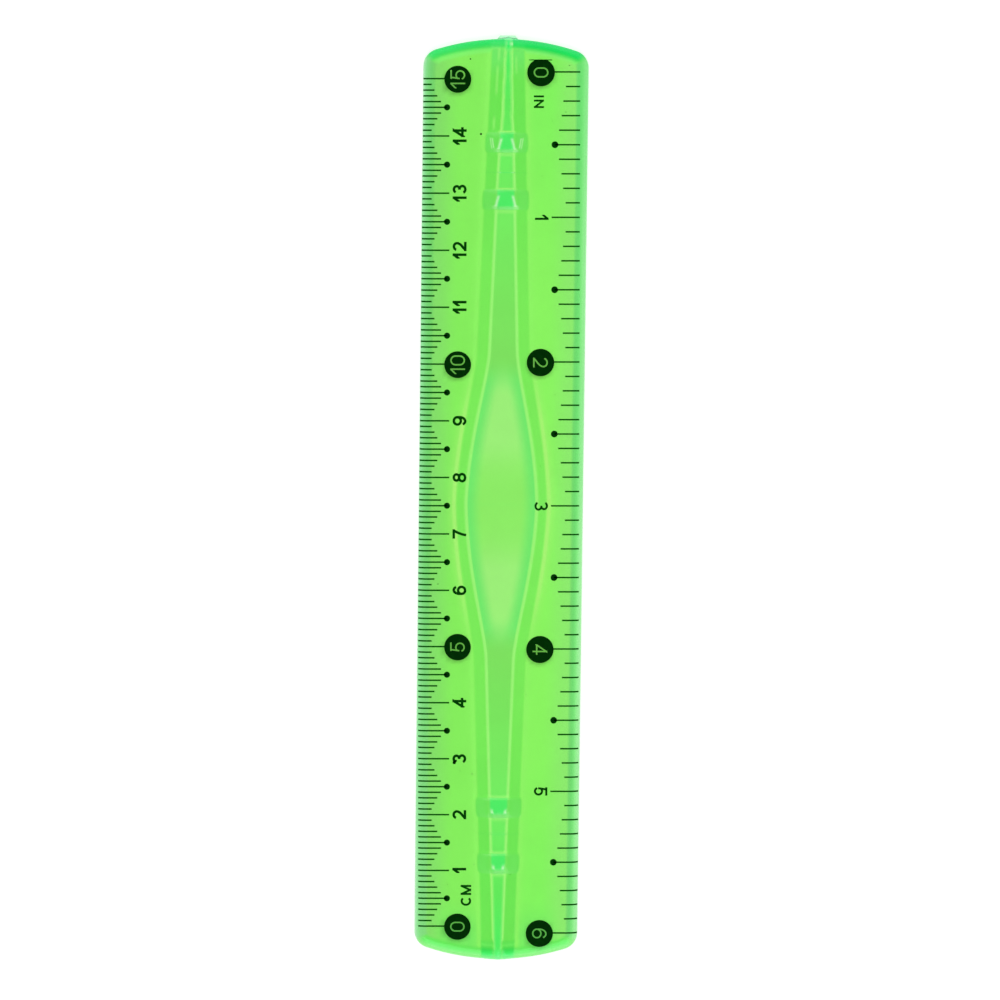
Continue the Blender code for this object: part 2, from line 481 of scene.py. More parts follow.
class Streak(NamedTuple):
    """A faint painted highlight streak along a flank, in millimetres, and how strongly it is laid on."""

    middle: float
    half_length: float
    past_crest: float
    on_right: bool
    share: float = 1.0


WHOLE = Fade(0.0, 1.0)


def ramp_of(*rows: tuple[float, float, float, float]) -> Ramp:
    """Write a ramp as rows of a distance in millimetres, then red, green and blue, 0 to 255."""
    return tuple((place, linear(*screen)) for place, *screen in rows)


class Nodes:
    """Adds nodes to one node tree and links them."""

    def __init__(self, tree: bpy.types.NodeTree) -> None:
        """Work on a tree."""
        self.tree = tree

    def add(self, kind: str, settings: dict | None = None, **inputs: object) -> bpy.types.Node:
        """Add a node.

        Args:
            kind: The node's type.
            settings: Attributes of the node to set.
            **inputs: Values or sockets for its inputs, by name, with _ for a space.

        Returns:
            The new node.
        """
        node = self.tree.nodes.new(kind)
        for name, value in (settings or {}).items():
            setattr(node, name, value)
        for name, value in inputs.items():
            self.put(node.inputs[name.replace("_", " ")], value)
        return node

    def put(self, socket: Socket, value: object) -> None:
        """Link an output to an input, or set the input's value.

        Args:
            socket: The input.
            value: The output or the value.
        """
        if isinstance(value, Socket):
            self.tree.links.new(value, socket)
        else:
            socket.default_value = value

    def fill(self, node: bpy.types.Node, *values: object) -> None:
        """Link or set a node's first inputs, in order."""
        for socket, value in zip(node.inputs, values):
            self.put(socket, value)

    def maths(self, operation: str, *values: object) -> Socket:
        """Add a Math node.

        Args:
            operation: What it does.
            *values: Values or outputs for its inputs, in order.

        Returns:
            Its output.
        """
        node = self.add("ShaderNodeMath", {"operation": operation})
        self.fill(node, *values)
        return node.outputs[0]

    def mix(self, share: object, first: object, second: object) -> Socket:
        """Mix two colours.

        Args:
            share: How much of the second there is, 0 to 1.
            first: The first colour.
            second: The second colour.

        Returns:
            The mixed colour.
        """
        node = self.add("ShaderNodeMix", {"data_type": "RGBA"})
        for socket, value in zip([node.inputs[0], *node.inputs[6:8]], (share, first, second)):
            self.put(socket, value)
        return node.outputs[2]

    def spread(self, value: object, low: float, high: float) -> Socket:
        """Map a value from between two others to between 0 and 1, eased at both ends.

        Args:
            value: The value.
            low: What becomes 0.
            high: What becomes 1.

        Returns:
            The mapped value.
        """
        kind = {"interpolation_type": "SMOOTHSTEP"}
        node = self.add("ShaderNodeMapRange", kind, Value=value, From_Min=low, From_Max=high)
        return node.outputs["Result"]

    def attribute(self, name: str, vector: bool = False) -> Socket:
        """Read an attribute of the mesh."""
        node = self.add("ShaderNodeAttribute", {"attribute_name": name})
        return node.outputs["Vector" if vector else "Fac"]

    def group(self, tree: bpy.types.NodeTree, output: str, **inputs: object) -> Socket:
        """Place a node group and return one of its outputs."""
        node = self.add("ShaderNodeGroup", {"node_tree": tree}, **inputs)
        return node.outputs[output]


class Effects:
    """Shader effects that several finishes use, each built once as a node group."""

    mottle_detail: float = 3.0
    mottle_middle: float = 0.5

    def __init__(self) -> None:
        """Build the groups."""
        self.band = self.build_band()
        self.mottle = self.build_mottle()

    @staticmethod
    def start(name: str, inputs: dict[str, str],
              outputs: dict[str, str]) -> tuple[Nodes, dict, bpy.types.Node]:
        """Open a node group.

        Args:
            name: The group's name.
            inputs: Kind of socket of each input, by name.
            outputs: Kind of socket of each output, by name.

        Returns:
            A node builder, the group's input sockets by name, and its output node.
        """
        tree = bpy.data.node_groups.new(name, "ShaderNodeTree")
        for label, kind in inputs.items():
            tree.interface.new_socket(label, in_out="INPUT", socket_type=kind)
        for label, kind in outputs.items():
            tree.interface.new_socket(label, in_out="OUTPUT", socket_type=kind)
        nodes = Nodes(tree)
        given = nodes.add("NodeGroupInput").outputs
        return nodes, {label: given[label] for label in inputs}, nodes.add("NodeGroupOutput")

    def build_band(self) -> bpy.types.NodeTree:
        """Build a soft-edged band along a line: 1 on it, 0 away from it.

        Returns:
            The group.
        """
        wanted = dict.fromkeys(("Distance", "Centre", "Half Width", "Softness"), "NodeSocketFloat")
        nodes, given, result = self.start("soft_band", wanted, {"Mask": "NodeSocketFloat"})
        away = nodes.maths("ABSOLUTE", nodes.maths("SUBTRACT", given["Distance"], given["Centre"]))
        faded = nodes.maths("DIVIDE", nodes.maths("SUBTRACT", away, given["Half Width"]), given["Softness"])
        mask = nodes.maths("SUBTRACT", 1.0, nodes.spread(faded, 0.0, 1.0))
        nodes.put(result.inputs["Mask"], mask)
        return nodes.tree

    def build_mottle(self) -> bpy.types.NodeTree:
        """Build the slow, cloudy unevenness of a moulded or printed surface, around 0.

        Returns:
            The group.
        """
        wanted = {"Place": "NodeSocketVector", "Scale": "NodeSocketFloat", "Amount": "NodeSocketFloat"}
        nodes, given, result = self.start("cloudy_mottle", wanted, {"Change": "NodeSocketFloat"})
        noise = nodes.add("ShaderNodeTexNoise", Vector=given["Place"], Scale=given["Scale"],
                          Detail=self.mottle_detail)
        centred = nodes.maths("SUBTRACT", noise.outputs[0], self.mottle_middle)
        nodes.put(result.inputs["Change"], nodes.maths("MULTIPLY", centred, given["Amount"]))
        return nodes.tree

    def clouding(self, nodes: Nodes, place: object, look: Mottle) -> Socket:
        """Lay the cloudy mottle over a place in a material."""
        return nodes.group(self.mottle, "Change", Place=place, Scale=look.scale, Amount=look.amount)


@dataclass(frozen=True)
class PlasticFinish:
    """Soft, clear green plastic: the colours that it shows over a white table, many of them painted light and
    shade, and its gloss.
    """

    # The plate's tones: the outer ones, towards the scales, hold the printing's painted shadow, averaged.
    left_inner: Colour = linear(129, 241, 88)
    left_outer: Colour = linear(128, 224, 101)
    right_inner: Colour = linear(134, 247, 91)
    right_inner_end: Colour = linear(126, 246, 89)
    right_outer: Colour = linear(137, 237, 105)
    # Painted shade: a deeper band near the zero end.
    near_zero_end: Colour = linear(110, 238, 95)
    # Painted highlights: the bright lines at the spine's foot.
    foot_line_middle: Colour = linear(166, 255, 112)
    foot_line_end: Colour = linear(137, 255, 95)
    # Painted shade on the spine's flanks.
    flank_middle: Colour = linear(116, 236, 82)
    flank_end: Colour = linear(103, 231, 77)
    flank_far_end: Colour = linear(106, 234, 96)
    # Painted highlight: the bright lines along the crest's edges, also laid on the streaks, the collars'
    # creases and the end rims.
    crest_line: Colour = linear(150, 255, 112)
    pad_rim: Colour = linear(110, 234, 103)
    pad_shoulder: Colour = linear(153, 242, 116)
    pad_middle: Colour = linear(137, 238, 97)
    collar_crest: Colour = linear(75, 239, 97)
    # Painted shade on the collars: over their crests and on their flanks.
    collar_shade: Colour = linear(104, 226, 92)
    collar_flank: Colour = linear(98, 226, 80)
    # Painted highlights: the glints at the collars' corners, and the thin outer glints on the last collar.
    glint: Colour = linear(178, 255, 168)
    spark: Colour = linear(225, 255, 215)
    stub: Colour = linear(186, 250, 203)
    # Painted light and shade on the side rims.
    left_rim_pale: Colour = linear(152, 238, 150)
    right_rim_deep: Colour = linear(98, 226, 106)
    left_edge_pale: Colour = linear(225, 252, 228)
    # Painted glow: the upright edges give off a little green light of their own.
    edge_glow: Colour = (0.0, 0.12, 0.015, 1.0)
    crest_along: Ramp = ramp_of(
        (26.0, 121, 226, 90),
        (38.0, 117, 231, 89),
        (50.0, 113, 238, 92),
        (60.0, 105, 240, 91),
        (70.0, 92, 235, 85),
        (78.0, 78, 241, 92),
    )
    # Ramps across the rims, from the edge inwards, in millimetres: painted light and shade.
    left_rim: Ramp = ramp_of(
        (0.0, 170, 238, 185),
        (0.3, 140, 230, 155),
        (0.7, 125, 222, 131),
        (1.1, 119, 218, 117),
        (1.5, 111, 213, 107),
        (1.9, 115, 214, 101),
    )
    right_rim: Ramp = ramp_of(
        (0.0, 180, 240, 180),
        (0.4, 154, 238, 151),
        (0.8, 145, 245, 141),
        (1.15, 121, 233, 119),
        (1.5, 109, 220, 108),
        (1.85, 114, 218, 105),
        (2.15, 128, 230, 107),
    )
    # Painted shade at the far end's rim and crest.
    far_end_rim: Ramp = ramp_of(
        (0.0, 30, 208, 108),
        (0.3, 0, 224, 98),
        (0.6, 0, 229, 94),
        (0.9, 22, 223, 84),
        (1.1, 44, 225, 84),
        (1.3, 70, 228, 86),
        (1.5, 96, 236, 96),
        (1.7, 116, 244, 102),
        (1.9, 127, 249, 104),
    )
    far_end_crest: Ramp = ramp_of(
        (0.0, 95, 240, 140),
        (0.3, 45, 236, 116),
        (0.5, 15, 240, 112),
        (0.9, 0, 240, 101),
        (1.3, 20, 240, 92),
        (1.7, 84, 246, 104),
        (2.1, 106, 243, 106),
    )
    # Painted light and shade at the zero end's rim, crest and flank.
    zero_end_rim: Ramp = ramp_of(
        (0.0, 150, 243, 142),
        (0.5, 140, 255, 128),
        (0.9, 111, 255, 107),
        (1.3, 94, 248, 92),
        (1.7, 98, 236, 84),
    )
    zero_end_crest: Ramp = ramp_of(
        (0.0, 180, 248, 190),
        (0.3, 142, 243, 155),
        (0.6, 106, 250, 130),
        (0.9, 82, 254, 111),
        (1.25, 70, 248, 100),
        (1.6, 76, 243, 97),
        (2.0, 90, 245, 98),
    )
    zero_end_flank: Ramp = ramp_of(
        (0.0, 186, 234, 180),
        (0.3, 150, 255, 156),
        (0.6, 102, 255, 121),
        (0.9, 72, 250, 106),
        (1.2, 54, 238, 86),
        (1.7, 52, 221, 72),
        (2.1, 78, 224, 72),
        (2.5, 104, 238, 88),
        (3.0, 88, 228, 76),
        (3.6, 103, 231, 77),
    )
    veil: float = 0.012
    passed: float = 0.92
    depth: float = 1.1
    darkest: float = 0.002
    # How dark the discs' painted shadow makes the plastic.
    print_shade: float = 0.5
    cloud: Mottle = Mottle(160.0, 0.1)
    fine_cloud: Mottle = Mottle(900.0, 0.04)
    roughness: float = 0.14
    haze: Mottle = Mottle(60.0, 0.08)
    ripple_scale: float = 350.0
    ripple_detail: float = 2.0
    ripple_strength: float = 0.08
    ripple_height: float = 0.2 * MM
    refraction: float = 1.5
    sheen_level: float = 0.25
    clearness: float = 0.94

    def written(self, seen: Colour) -> Colour:
        """Find what to write in the shader, so that the surface shows a colour.

        Args:
            seen: The colour that is to be seen.

        Returns:
            The colour to write.
        """
        light = [min(max((value - self.veil) / self.passed, self.darkest), 1.0) for value in seen[:3]]
        red, green, blue = (value ** (1 / self.depth) for value in light)
        return red, green, blue, 1.0


@dataclass(frozen=True)
class ToneLayout:
    """Where the moulding's tones, many of them painted light and shade, lie, in millimetres, and how strongly
    they are laid on, in shares.

    Fades along the ruler run from its middle to the 15 cm end, and fades across it from the middle
    line to the right. The others run outwards from the line that they are named after.
    """

    right_of_spine: Fade = Fade(-0.2, 0.9)
    right_half: Fade = Fade(-4.0, 4.0)
    # The outer plate, where the printing's painted shadow lies, averaged.
    outer_plate: Fade = Fade(7.5, 12.6)
    right_plate_end: Fade = Fade(35.0, 72.0)
    # The zero end's band of painted shade.
    zero_end_plate: Fade = Fade(-70.0, -78.0)
    zero_end_share: float = 0.8

    # The crest's painted highlight lines: how they drift near the far end, and their band.
    line_drift: Fade = Fade(56.0, 70.0)
    line_shift_left: float = 0.32
    line_shift_change: float = -0.14
    line_waver: Mottle = Mottle(420.0, 0.55)
    shoulder_line: Band = Band(-0.07, 0.14, 0.26)
    crest_edge: Fade = Fade(-0.25, 0.05)

    # Painted shade on the flanks, and painted highlights at their foot.
    flank_by_end: Fade = Fade(30.0, 70.0)
    flank_far_end: Fade = Fade(74.0, 79.0)
    flank_edge: Fade = Fade(-0.85, -0.3)
    foot_line_by_end: Fade = Fade(11.0, 27.0)
    foot_halo: Band = Band(0.0, 0.1, 1.5)
    foot_halo_share: float = 0.35
    foot_core: Band = Band(-0.08, 0.1, 0.5)
    foot_core_share: float = 0.8
    # Painted highlights: faint pale streaks along the flanks near the far end.
    streaks: tuple[Streak, ...] = (
        Streak(79.0, 0.6, 0.77, on_right=False),
        Streak(74.3, 1.8, 0.88, on_right=False, share=0.95),
        Streak(66.8, 0.4, 1.04, on_right=False),
        Streak(77.0, 0.8, 0.55, on_right=True, share=0.65),
    )
    streak_ends: float = 1.2
    streak_half_width: float = 0.05
    streak_softness: float = 0.16

    pad_rim: Fade = Fade(0.0, 0.25)
    pad_shoulder: Fade = Fade(0.72, 1.0)
    pad_start: Fade = Fade(0.0, 0.35)
    pad_core: Fade = Fade(-0.6, -2.9)

    # The collars' painted shade, and the bright creases across them, which are painted highlights.
    collar_body: Band = Band(-0.1, 1.5, 0.3)
    collar_crest: Fade = Fade(-0.42, -0.14)
    collar_foot: Fade = Fade(-0.75, -0.2)
    collar_flank_share: float = 0.8
    collar_patch: Band = Band(0.15, 1.1, 0.4)
    crease_ends: Fade = Fade(0.0, 0.5)
    creases: tuple[tuple[Band, float], ...] = ((Band(1.8, 0.12, 0.25), 0.9), (Band(-2.1, 0.1, 0.45), 0.55))

    # Where the collars' painted glints lie.
    far_collars: Fade = Fade(-20.0, 20.0)
    glint: Band = Band(-0.39, 0.15, 0.2)
    glint_inset: float = 0.18
    glint_slant: Pair = (0.23, -0.18)
    glint_length: Pair = (1.05, -0.3)
    glint_tip: Fade = Fade(-0.4, 0.2)
    glint_root: Fade = Fade(-1.2, -0.95)
    glint_share: float = 0.9
    glint_foot: Band = Band(-1.1, 0.05, 0.14)
    glint_foot_across: Band = Band(-0.05, 0.3, 0.25)
    glint_foot_share: float = 0.6
    last_collar: Fade = Fade(59.0, 60.0)
    spark: Band = Band(1.02, 0.07, 0.09)
    spark_along: Band = Band(-0.15, 0.7, 0.3)
    spark_slant: float = -0.2

    # Where the side rims' painted light and shade lie.
    side_rim: Fade = Fade(1.9, 2.4)
    side_facing: Fade = Fade(0.3, 0.85)
    left_pale: Fade = Fade(-65.0, 5.0)
    left_pale_share: float = 0.35
    left_edge: Fade = Fade(0.15, 0.5)
    left_edge_by_end: Fade = Fade(45.0, 75.0)
    left_edge_share: float = 0.7
    right_deep: tuple[tuple[Fade, float], ...] = ((Fade(-15.0, 20.0), 0.28), (Fade(42.0, 75.0), 0.35))

    # Where the end rims' painted light and shade lie.
    far_facing: Fade = Fade(0.3, 0.85)
    far_rim: Fade = Fade(2.0, 2.6)
    far_rim_flank: Fade = Fade(-0.8, -0.2)
    far_rim_right_shift: float = -0.2
    far_rim_flank_shift: float = 0.6
    zero_facing: Fade = Fade(-0.3, -0.85)
    zero_rim: Fade = Fade(1.7, 2.3)
    zero_rim_flank: Fade = Fade(3.2, 3.7)

    # Painted highlights over the end rims.
    end_line_start: Fade = Fade(0.1, 0.5)
    end_line_stop: Fade = Fade(2.2, 2.6)
    end_line_facing: Fade = Fade(0.8, 0.95)
    end_line_share: float = 0.22
    end_spot: Band = Band(0.95, 0.15, 0.3)
    end_spot_along: Fade = Fade(60.0, 70.0)
    end_spot_share: float = 0.8


class PlasticMaterial:
    """Dresses the moulding: its body colour and the tones of its relief, rim and ends, many of them painted
    light and shade.
    """

    def __init__(self, finish: PlasticFinish, layout: ToneLayout, effects: Effects) -> None:
        """Build the material.

        Args:
            finish: Its colours and gloss.
            layout: Where the colours lie.
            effects: The shared shader effects.
        """
        self.finish = finish
        self.layout = layout
        self.effects = effects
        self.material = bpy.data.materials.new("clear_green_plastic")
        self.material.use_nodes = True
        self.nodes = n = Nodes(self.material.node_tree)
        self.rest_place = n.attribute("rest_place", vector=True)
        self.across = n.attribute("across")
        self.along = n.attribute("along")
        self.off_middle = n.maths("ABSOLUTE", self.along)
        self.inward = n.attribute("from_edge")
        self.facing = n.attribute("edge_facing")
        self.past_crest = n.attribute("past_crest")
        self.past_foot = n.attribute("past_foot")
        self.pad = n.attribute("pad")
        self.from_collar = n.attribute("from_collar")
        self.on_right = self.rise(self.across, layout.right_of_spine)
        self.right_half = self.rise(self.across, layout.right_half)
        self.past_line = self.line_distance()
        self.on_crest = self.fall(self.past_line, layout.crest_edge)
        self.shoulder_line = self.band(self.past_line, layout.shoulder_line)
        self.tone = self.plate_tone()
        self.build()

    def band(self, distance: object, band: Band) -> Socket:
        """Place a soft band along a line."""
        wanted = dict(zip(("Distance", "Centre", "Half Width", "Softness"), (distance, *band)))
        return self.nodes.group(self.effects.band, "Mask", **wanted)

    def rise(self, value: object, fade: Fade) -> Socket:
        """Ease a value from 0, before a fade, to 1 after it."""
        return self.nodes.spread(value, *fade)

    def fall(self, value: object, fade: Fade) -> Socket:
        """Ease a value from 1, before a fade, to 0 after it."""
        return self.nodes.maths("SUBTRACT", 1.0, self.rise(value, fade))

    def mottle(self, look: Mottle) -> Socket:
        """Cloud the plastic in a pattern that bends with it."""
        return self.effects.clouding(self.nodes, self.rest_place, look)

    def both(self, *masks: object) -> Socket:
        """Find where all of several masks stand."""
        return functools.reduce(lambda one, other: self.nodes.maths("MULTIPLY", one, other), masks)

    def between(self, share: object, first: Colour, second: Colour) -> Socket:
        """Mix two of the finish's tones."""
        return self.nodes.mix(share, self.finish.written(first), self.finish.written(second))

    def weaken(self, mask: object, share: float) -> object:
        """Weaken a mask to a share of itself."""
        return mask if share == 1.0 else self.nodes.maths("MULTIPLY", mask, share)

    def over(self, base: object, mask: object, seen: Colour, share: float = 1.0) -> Socket:
        """Lay one of the finish's tones over a colour where a mask stands."""
        return self.nodes.mix(self.weaken(mask, share), base, self.finish.written(seen))

    def lay(self, mask: object, seen: Colour, share: float = 1.0) -> None:
        """Lay one of the finish's tones over the moulding where a mask stands."""
        self.tone = self.over(self.tone, mask, seen, share)

    def cover(self, mask: object, colour: object, share: float = 1.0) -> None:
        """Cover the moulding with a mixed colour where a mask stands."""
        self.tone = self.nodes.mix(self.weaken(mask, share), self.tone, colour)

    def ramp(self, distance: object, stops: Ramp) -> Socket:
        """Run through a ramp of tones with a distance.

        Args:
            distance: Distance in millimetres.
            stops: The ramp.

        Returns:
            The colour.
        """
        reach = stops[-1][0]
        node = self.nodes.add("ShaderNodeValToRGB", Fac=self.nodes.maths("DIVIDE", distance, reach))
        elements = node.color_ramp.elements
        for place, _ in stops[1:-1]:
            elements.new(place / reach)
        for element, (place, seen) in zip(elements, stops):
            element.position = place / reach
            element.color = self.finish.written(seen)
        return node.outputs["Color"]

    def line_distance(self) -> Socket:
        """Measure past the crest's bright lines, which are painted highlights and drift and waver near the
        far end.

        Returns:
            The distance in millimetres.
        """
        n, lay = self.nodes, self.layout
        near_end = self.rise(self.along, lay.line_drift)
        shift = n.maths("MULTIPLY_ADD", self.on_right, lay.line_shift_change, lay.line_shift_left)
        drift = n.maths("ADD", shift, self.mottle(lay.line_waver))
        return n.maths("MULTIPLY_ADD", near_end, drift, self.past_crest)

    def plate_tone(self) -> Socket:
        """Tone the flat plate: paler on the right, cooler towards the scales with the printing's painted
        shadow averaged in, and deeper with painted shade near the zero end.

        Returns:
            The colour.
        """
        n, look, lay = self.nodes, self.finish, self.layout
        outer = self.rise(n.maths("ABSOLUTE", self.across), lay.outer_plate)
        left = self.between(outer, look.left_inner, look.left_outer)
        by_end = self.rise(self.off_middle, lay.right_plate_end)
        right_inner = self.between(by_end, look.right_inner, look.right_inner_end)
        right = self.over(right_inner, outer, look.right_outer)
        near_zero = self.both(self.rise(self.along, lay.zero_end_plate), self.fall(outer, WHOLE))
        tone = n.mix(self.right_half, left, right)
        return self.over(tone, near_zero, look.near_zero_end, lay.zero_end_share)

    def tone_spine(self) -> None:
        """Tone the spine: darker flanks of painted shade, bright lines of painted highlight at its foot and
        shoulder, and the pale pad.
        """
        look, lay = self.finish, self.layout
        flank = self.between(self.rise(self.off_middle, lay.flank_by_end), look.flank_middle, look.flank_end)
        flank = self.over(flank, self.rise(self.along, lay.flank_far_end), look.flank_far_end)
        by_end = self.rise(self.off_middle, lay.foot_line_by_end)
        foot_highlight = self.between(by_end, look.foot_line_middle, look.foot_line_end)
        self.cover(self.band(self.past_foot, lay.foot_halo), foot_highlight, lay.foot_halo_share)
        self.cover(self.fall(self.past_foot, lay.flank_edge), flank)
        self.cover(self.band(self.past_foot, lay.foot_core), foot_highlight, lay.foot_core_share)
        crest = self.ramp(self.off_middle, look.crest_along)
        self.cover(self.on_crest, self.over(crest, self.rise(self.pad, lay.pad_rim), look.pad_rim))
        pad = self.between(self.rise(self.pad, lay.pad_shoulder), look.pad_shoulder, look.pad_middle)
        core = self.both(self.rise(self.past_crest, lay.pad_core), self.rise(self.pad, lay.pad_start))
        self.cover(core, pad)
        self.lay(self.shoulder_line, look.crest_line)

    def tone_streaks(self) -> None:
        """Lay on the faint pale streaks near the far end: painted highlights along the flanks."""
        lay = self.layout
        on_left = self.nodes.maths("SUBTRACT", 1.0, self.on_right)
        for streak in lay.streaks:
            along = self.band(self.along, Band(streak.middle, streak.half_length, lay.streak_ends))
            line = Band(streak.past_crest, lay.streak_half_width, lay.streak_softness)
            side = self.on_right if streak.on_right else on_left
            mask = self.both(along, self.band(self.past_crest, line), side)
            self.lay(mask, self.finish.crest_line, streak.share)

    def tone_collars(self) -> None:
        """Tone the collars: a deep patch on the crest, painted shade on their flanks and in a dull strip, and
        bright creases across, which are painted highlights.
        """
        look, lay = self.finish, self.layout
        body = self.band(self.from_collar, lay.collar_body)
        on_crest = self.fall(self.past_crest, lay.collar_crest)
        on_flank = self.nodes.maths("SUBTRACT", self.fall(self.past_foot, lay.collar_foot), on_crest)
        self.lay(self.both(body, on_flank), look.collar_flank, lay.collar_flank_share)
        self.lay(self.both(body, on_crest), look.collar_shade)
        self.lay(self.both(self.band(self.from_collar, lay.collar_patch), on_crest), look.collar_crest)
        near = self.fall(self.past_crest, lay.crease_ends)
        for crease, share in lay.creases:
            self.lay(self.both(self.band(self.from_collar, crease), near), look.crest_line, share)

    def tone_glints(self) -> None:
        """Lay on the bright marks at the collars' corners, which are painted glints: long wedges towards the
        far end.
        """
        n, look, lay, offset = self.nodes, self.finish, self.layout, self.from_collar
        far = self.rise(self.along, lay.far_collars)
        slant = n.maths("MULTIPLY", far, n.maths("MULTIPLY_ADD", offset, *lay.glint_slant))
        inner = n.maths("ADD", n.maths("ADD", self.past_crest, lay.glint_inset), slant)
        tip = n.maths("SUBTRACT", offset, n.maths("MULTIPLY_ADD", far, *lay.glint_length))
        reach = self.both(self.fall(tip, lay.glint_tip), self.rise(offset, lay.glint_root))
        self.lay(self.both(self.band(inner, lay.glint), reach), look.glint, lay.glint_share)
        across = self.band(self.past_crest, lay.glint_foot_across)
        foot = self.both(self.band(offset, lay.glint_foot), across, far)
        self.lay(foot, look.glint, lay.glint_foot_share)
        outer = n.maths("MULTIPLY_ADD", offset, lay.spark_slant, self.past_crest)
        last = self.both(self.rise(self.along, lay.last_collar), self.band(offset, lay.spark_along))
        self.lay(self.both(self.band(outer, lay.spark), last), look.spark)

    def tone_side_rims(self) -> None:
        """Tone the rounded rim along the two sides with painted light and shade."""
        look, lay = self.finish, self.layout
        left = self.ramp(self.inward, look.left_rim)
        left = self.over(left, self.fall(self.along, lay.left_pale), look.left_rim_pale, lay.left_pale_share)
        by_end = self.rise(self.off_middle, lay.left_edge_by_end)
        edge = self.both(self.fall(self.inward, lay.left_edge), by_end)
        left = self.over(left, edge, look.left_edge_pale, lay.left_edge_share)
        right = self.ramp(self.inward, look.right_rim)
        for reach, share in lay.right_deep:
            right = self.over(right, self.rise(self.along, reach), look.right_rim_deep, share)
        beside = self.fall(self.nodes.maths("ABSOLUTE", self.facing), lay.side_facing)
        on_side = self.both(self.fall(self.inward, lay.side_rim), beside)
        self.cover(on_side, self.nodes.mix(self.right_half, left, right))

    def tone_end_rims(self) -> None:
        """Tone the rounded rim of the bowed ends with painted light and shade: deep at the far end, pale at
        the zero end.
        """
        n, look, lay, inward = self.nodes, self.finish, self.layout, self.inward
        flank = n.maths("SUBTRACT", self.fall(self.past_foot, lay.far_rim_flank), self.on_crest)
        drawn_in = n.maths("MULTIPLY_ADD", self.right_half, lay.far_rim_right_shift, inward)
        past_flank = n.maths("MULTIPLY_ADD", flank, lay.far_rim_flank_shift, inward)
        far = self.both(self.rise(self.facing, lay.far_facing), self.fall(past_flank, lay.far_rim))
        crest = self.ramp(inward, look.far_end_crest)
        self.cover(far, n.mix(self.on_crest, self.ramp(drawn_in, look.far_end_rim), crest))
        zero = self.rise(self.facing, lay.zero_facing)
        crest = self.ramp(inward, look.zero_end_crest)
        rim = n.mix(self.on_crest, self.ramp(inward, look.zero_end_rim), crest)
        self.cover(self.both(zero, self.fall(inward, lay.zero_rim)), rim)
        on_flank = self.both(zero, flank, self.fall(inward, lay.zero_rim_flank))
        self.cover(on_flank, self.ramp(inward, look.zero_end_flank))

    def tone_end_lines(self) -> None:
        """Carry the shoulders' bright lines, which are painted highlights, over the rim, with a bright spot,
        a painted glint, at the far end.
        """
        look, lay = self.finish, self.layout
        started = self.rise(self.inward, lay.end_line_start)
        over_rim = self.both(self.fall(self.inward, lay.end_line_stop), started)
        at_end = self.rise(self.nodes.maths("ABSOLUTE", self.facing), lay.end_line_facing)
        line = self.both(self.shoulder_line, self.both(over_rim, at_end))
        self.lay(line, look.crest_line, lay.end_line_share)
        spot = self.both(self.shoulder_line, self.on_right, self.band(self.inward, lay.end_spot))
        spot = self.both(spot, self.rise(self.along, lay.end_spot_along))
        self.lay(spot, look.glint, lay.end_spot_share)

    def build(self) -> None:
        """Lay all the tones over each other and join them with the clouding and the gloss."""
        n, look = self.nodes, self.finish
        for lay_on in (self.tone_spine, self.tone_streaks, self.tone_collars, self.tone_glints,
                       self.tone_side_rims, self.tone_end_rims, self.tone_end_lines):
            lay_on()
        self.lay(n.attribute("stub"), look.stub)
        uneven = n.maths("ADD", 1.0, n.maths("ADD", self.mottle(look.cloud), self.mottle(look.fine_cloud)))
        # The discs' painted shadow darkens the plastic.
        shade = n.maths("MULTIPLY", n.attribute("print_shade"), look.print_shade)
        gain = n.maths("SUBTRACT", uneven, shade)
        clouded = n.add("ShaderNodeVectorMath", {"operation": "SCALE"}, Scale=gain)
        n.put(clouded.inputs[0], self.tone)
        shader = self.material.node_tree.nodes["Principled BSDF"]
        n.put(shader.inputs["Base Color"], clouded.outputs[0])
        # Painted glow on the upright edges.
        glow = n.mix(n.attribute("wall"), (0.0, 0.0, 0.0, 1.0), look.edge_glow)
        n.put(shader.inputs["Emission Color"], glow)
        shader.inputs["Emission Strength"].default_value = 1.0
        n.put(shader.inputs["Roughness"], n.maths("ADD", look.roughness, self.mottle(look.haze)))
        ripple = n.add("ShaderNodeTexNoise", Vector=self.rest_place, Scale=look.ripple_scale,
                       Detail=look.ripple_detail)
        bump = n.add("ShaderNodeBump", Strength=look.ripple_strength, Distance=look.ripple_height,
                     Height=ripple.outputs[0])
        n.put(shader.inputs["Normal"], bump.outputs[0])
        shader.inputs["IOR"].default_value = look.refraction
        shader.inputs["Specular IOR Level"].default_value = look.sheen_level
        shader.inputs["Transmission Weight"].default_value = look.clearness


@dataclass(frozen=True)
class InkFinish:
    """Dark printing ink with a green cast."""

    solid: Colour = linear(0, 50, 3)
    thin: Colour = linear(0, 94, 4)
    patches: Mottle = Mottle(1400.0, 0.7)
    roughness: float = 0.5
    wear: Mottle = Mottle(700.0, 0.2)
    gloss: float = 0.02

    def build(self, effects: Effects) -> bpy.types.Material:
        """Build the material.

        Args:
            effects: The shared shader effects.

        Returns:
            The ink, thickest on the discs and thinner in the fine lines.
        """
        material = bpy.data.materials.new("dark_green_ink")
        material.use_nodes = True
        n = Nodes(material.node_tree)
        shader = material.node_tree.nodes["Principled BSDF"]
        place = n.attribute("rest_place", vector=True)
        share = n.maths("ADD", n.attribute("thinness"), effects.clouding(n, place, self.patches))
        n.put(shader.inputs["Base Color"], n.mix(share, self.solid, self.thin))
        roughness = n.maths("ADD", self.roughness, effects.clouding(n, place, self.wear))
        n.put(shader.inputs["Roughness"], roughness)
        shader.inputs["Specular IOR Level"].default_value = self.gloss
        return material


# Making meshes

Ring = dict[BMVert, tuple[int, int]]

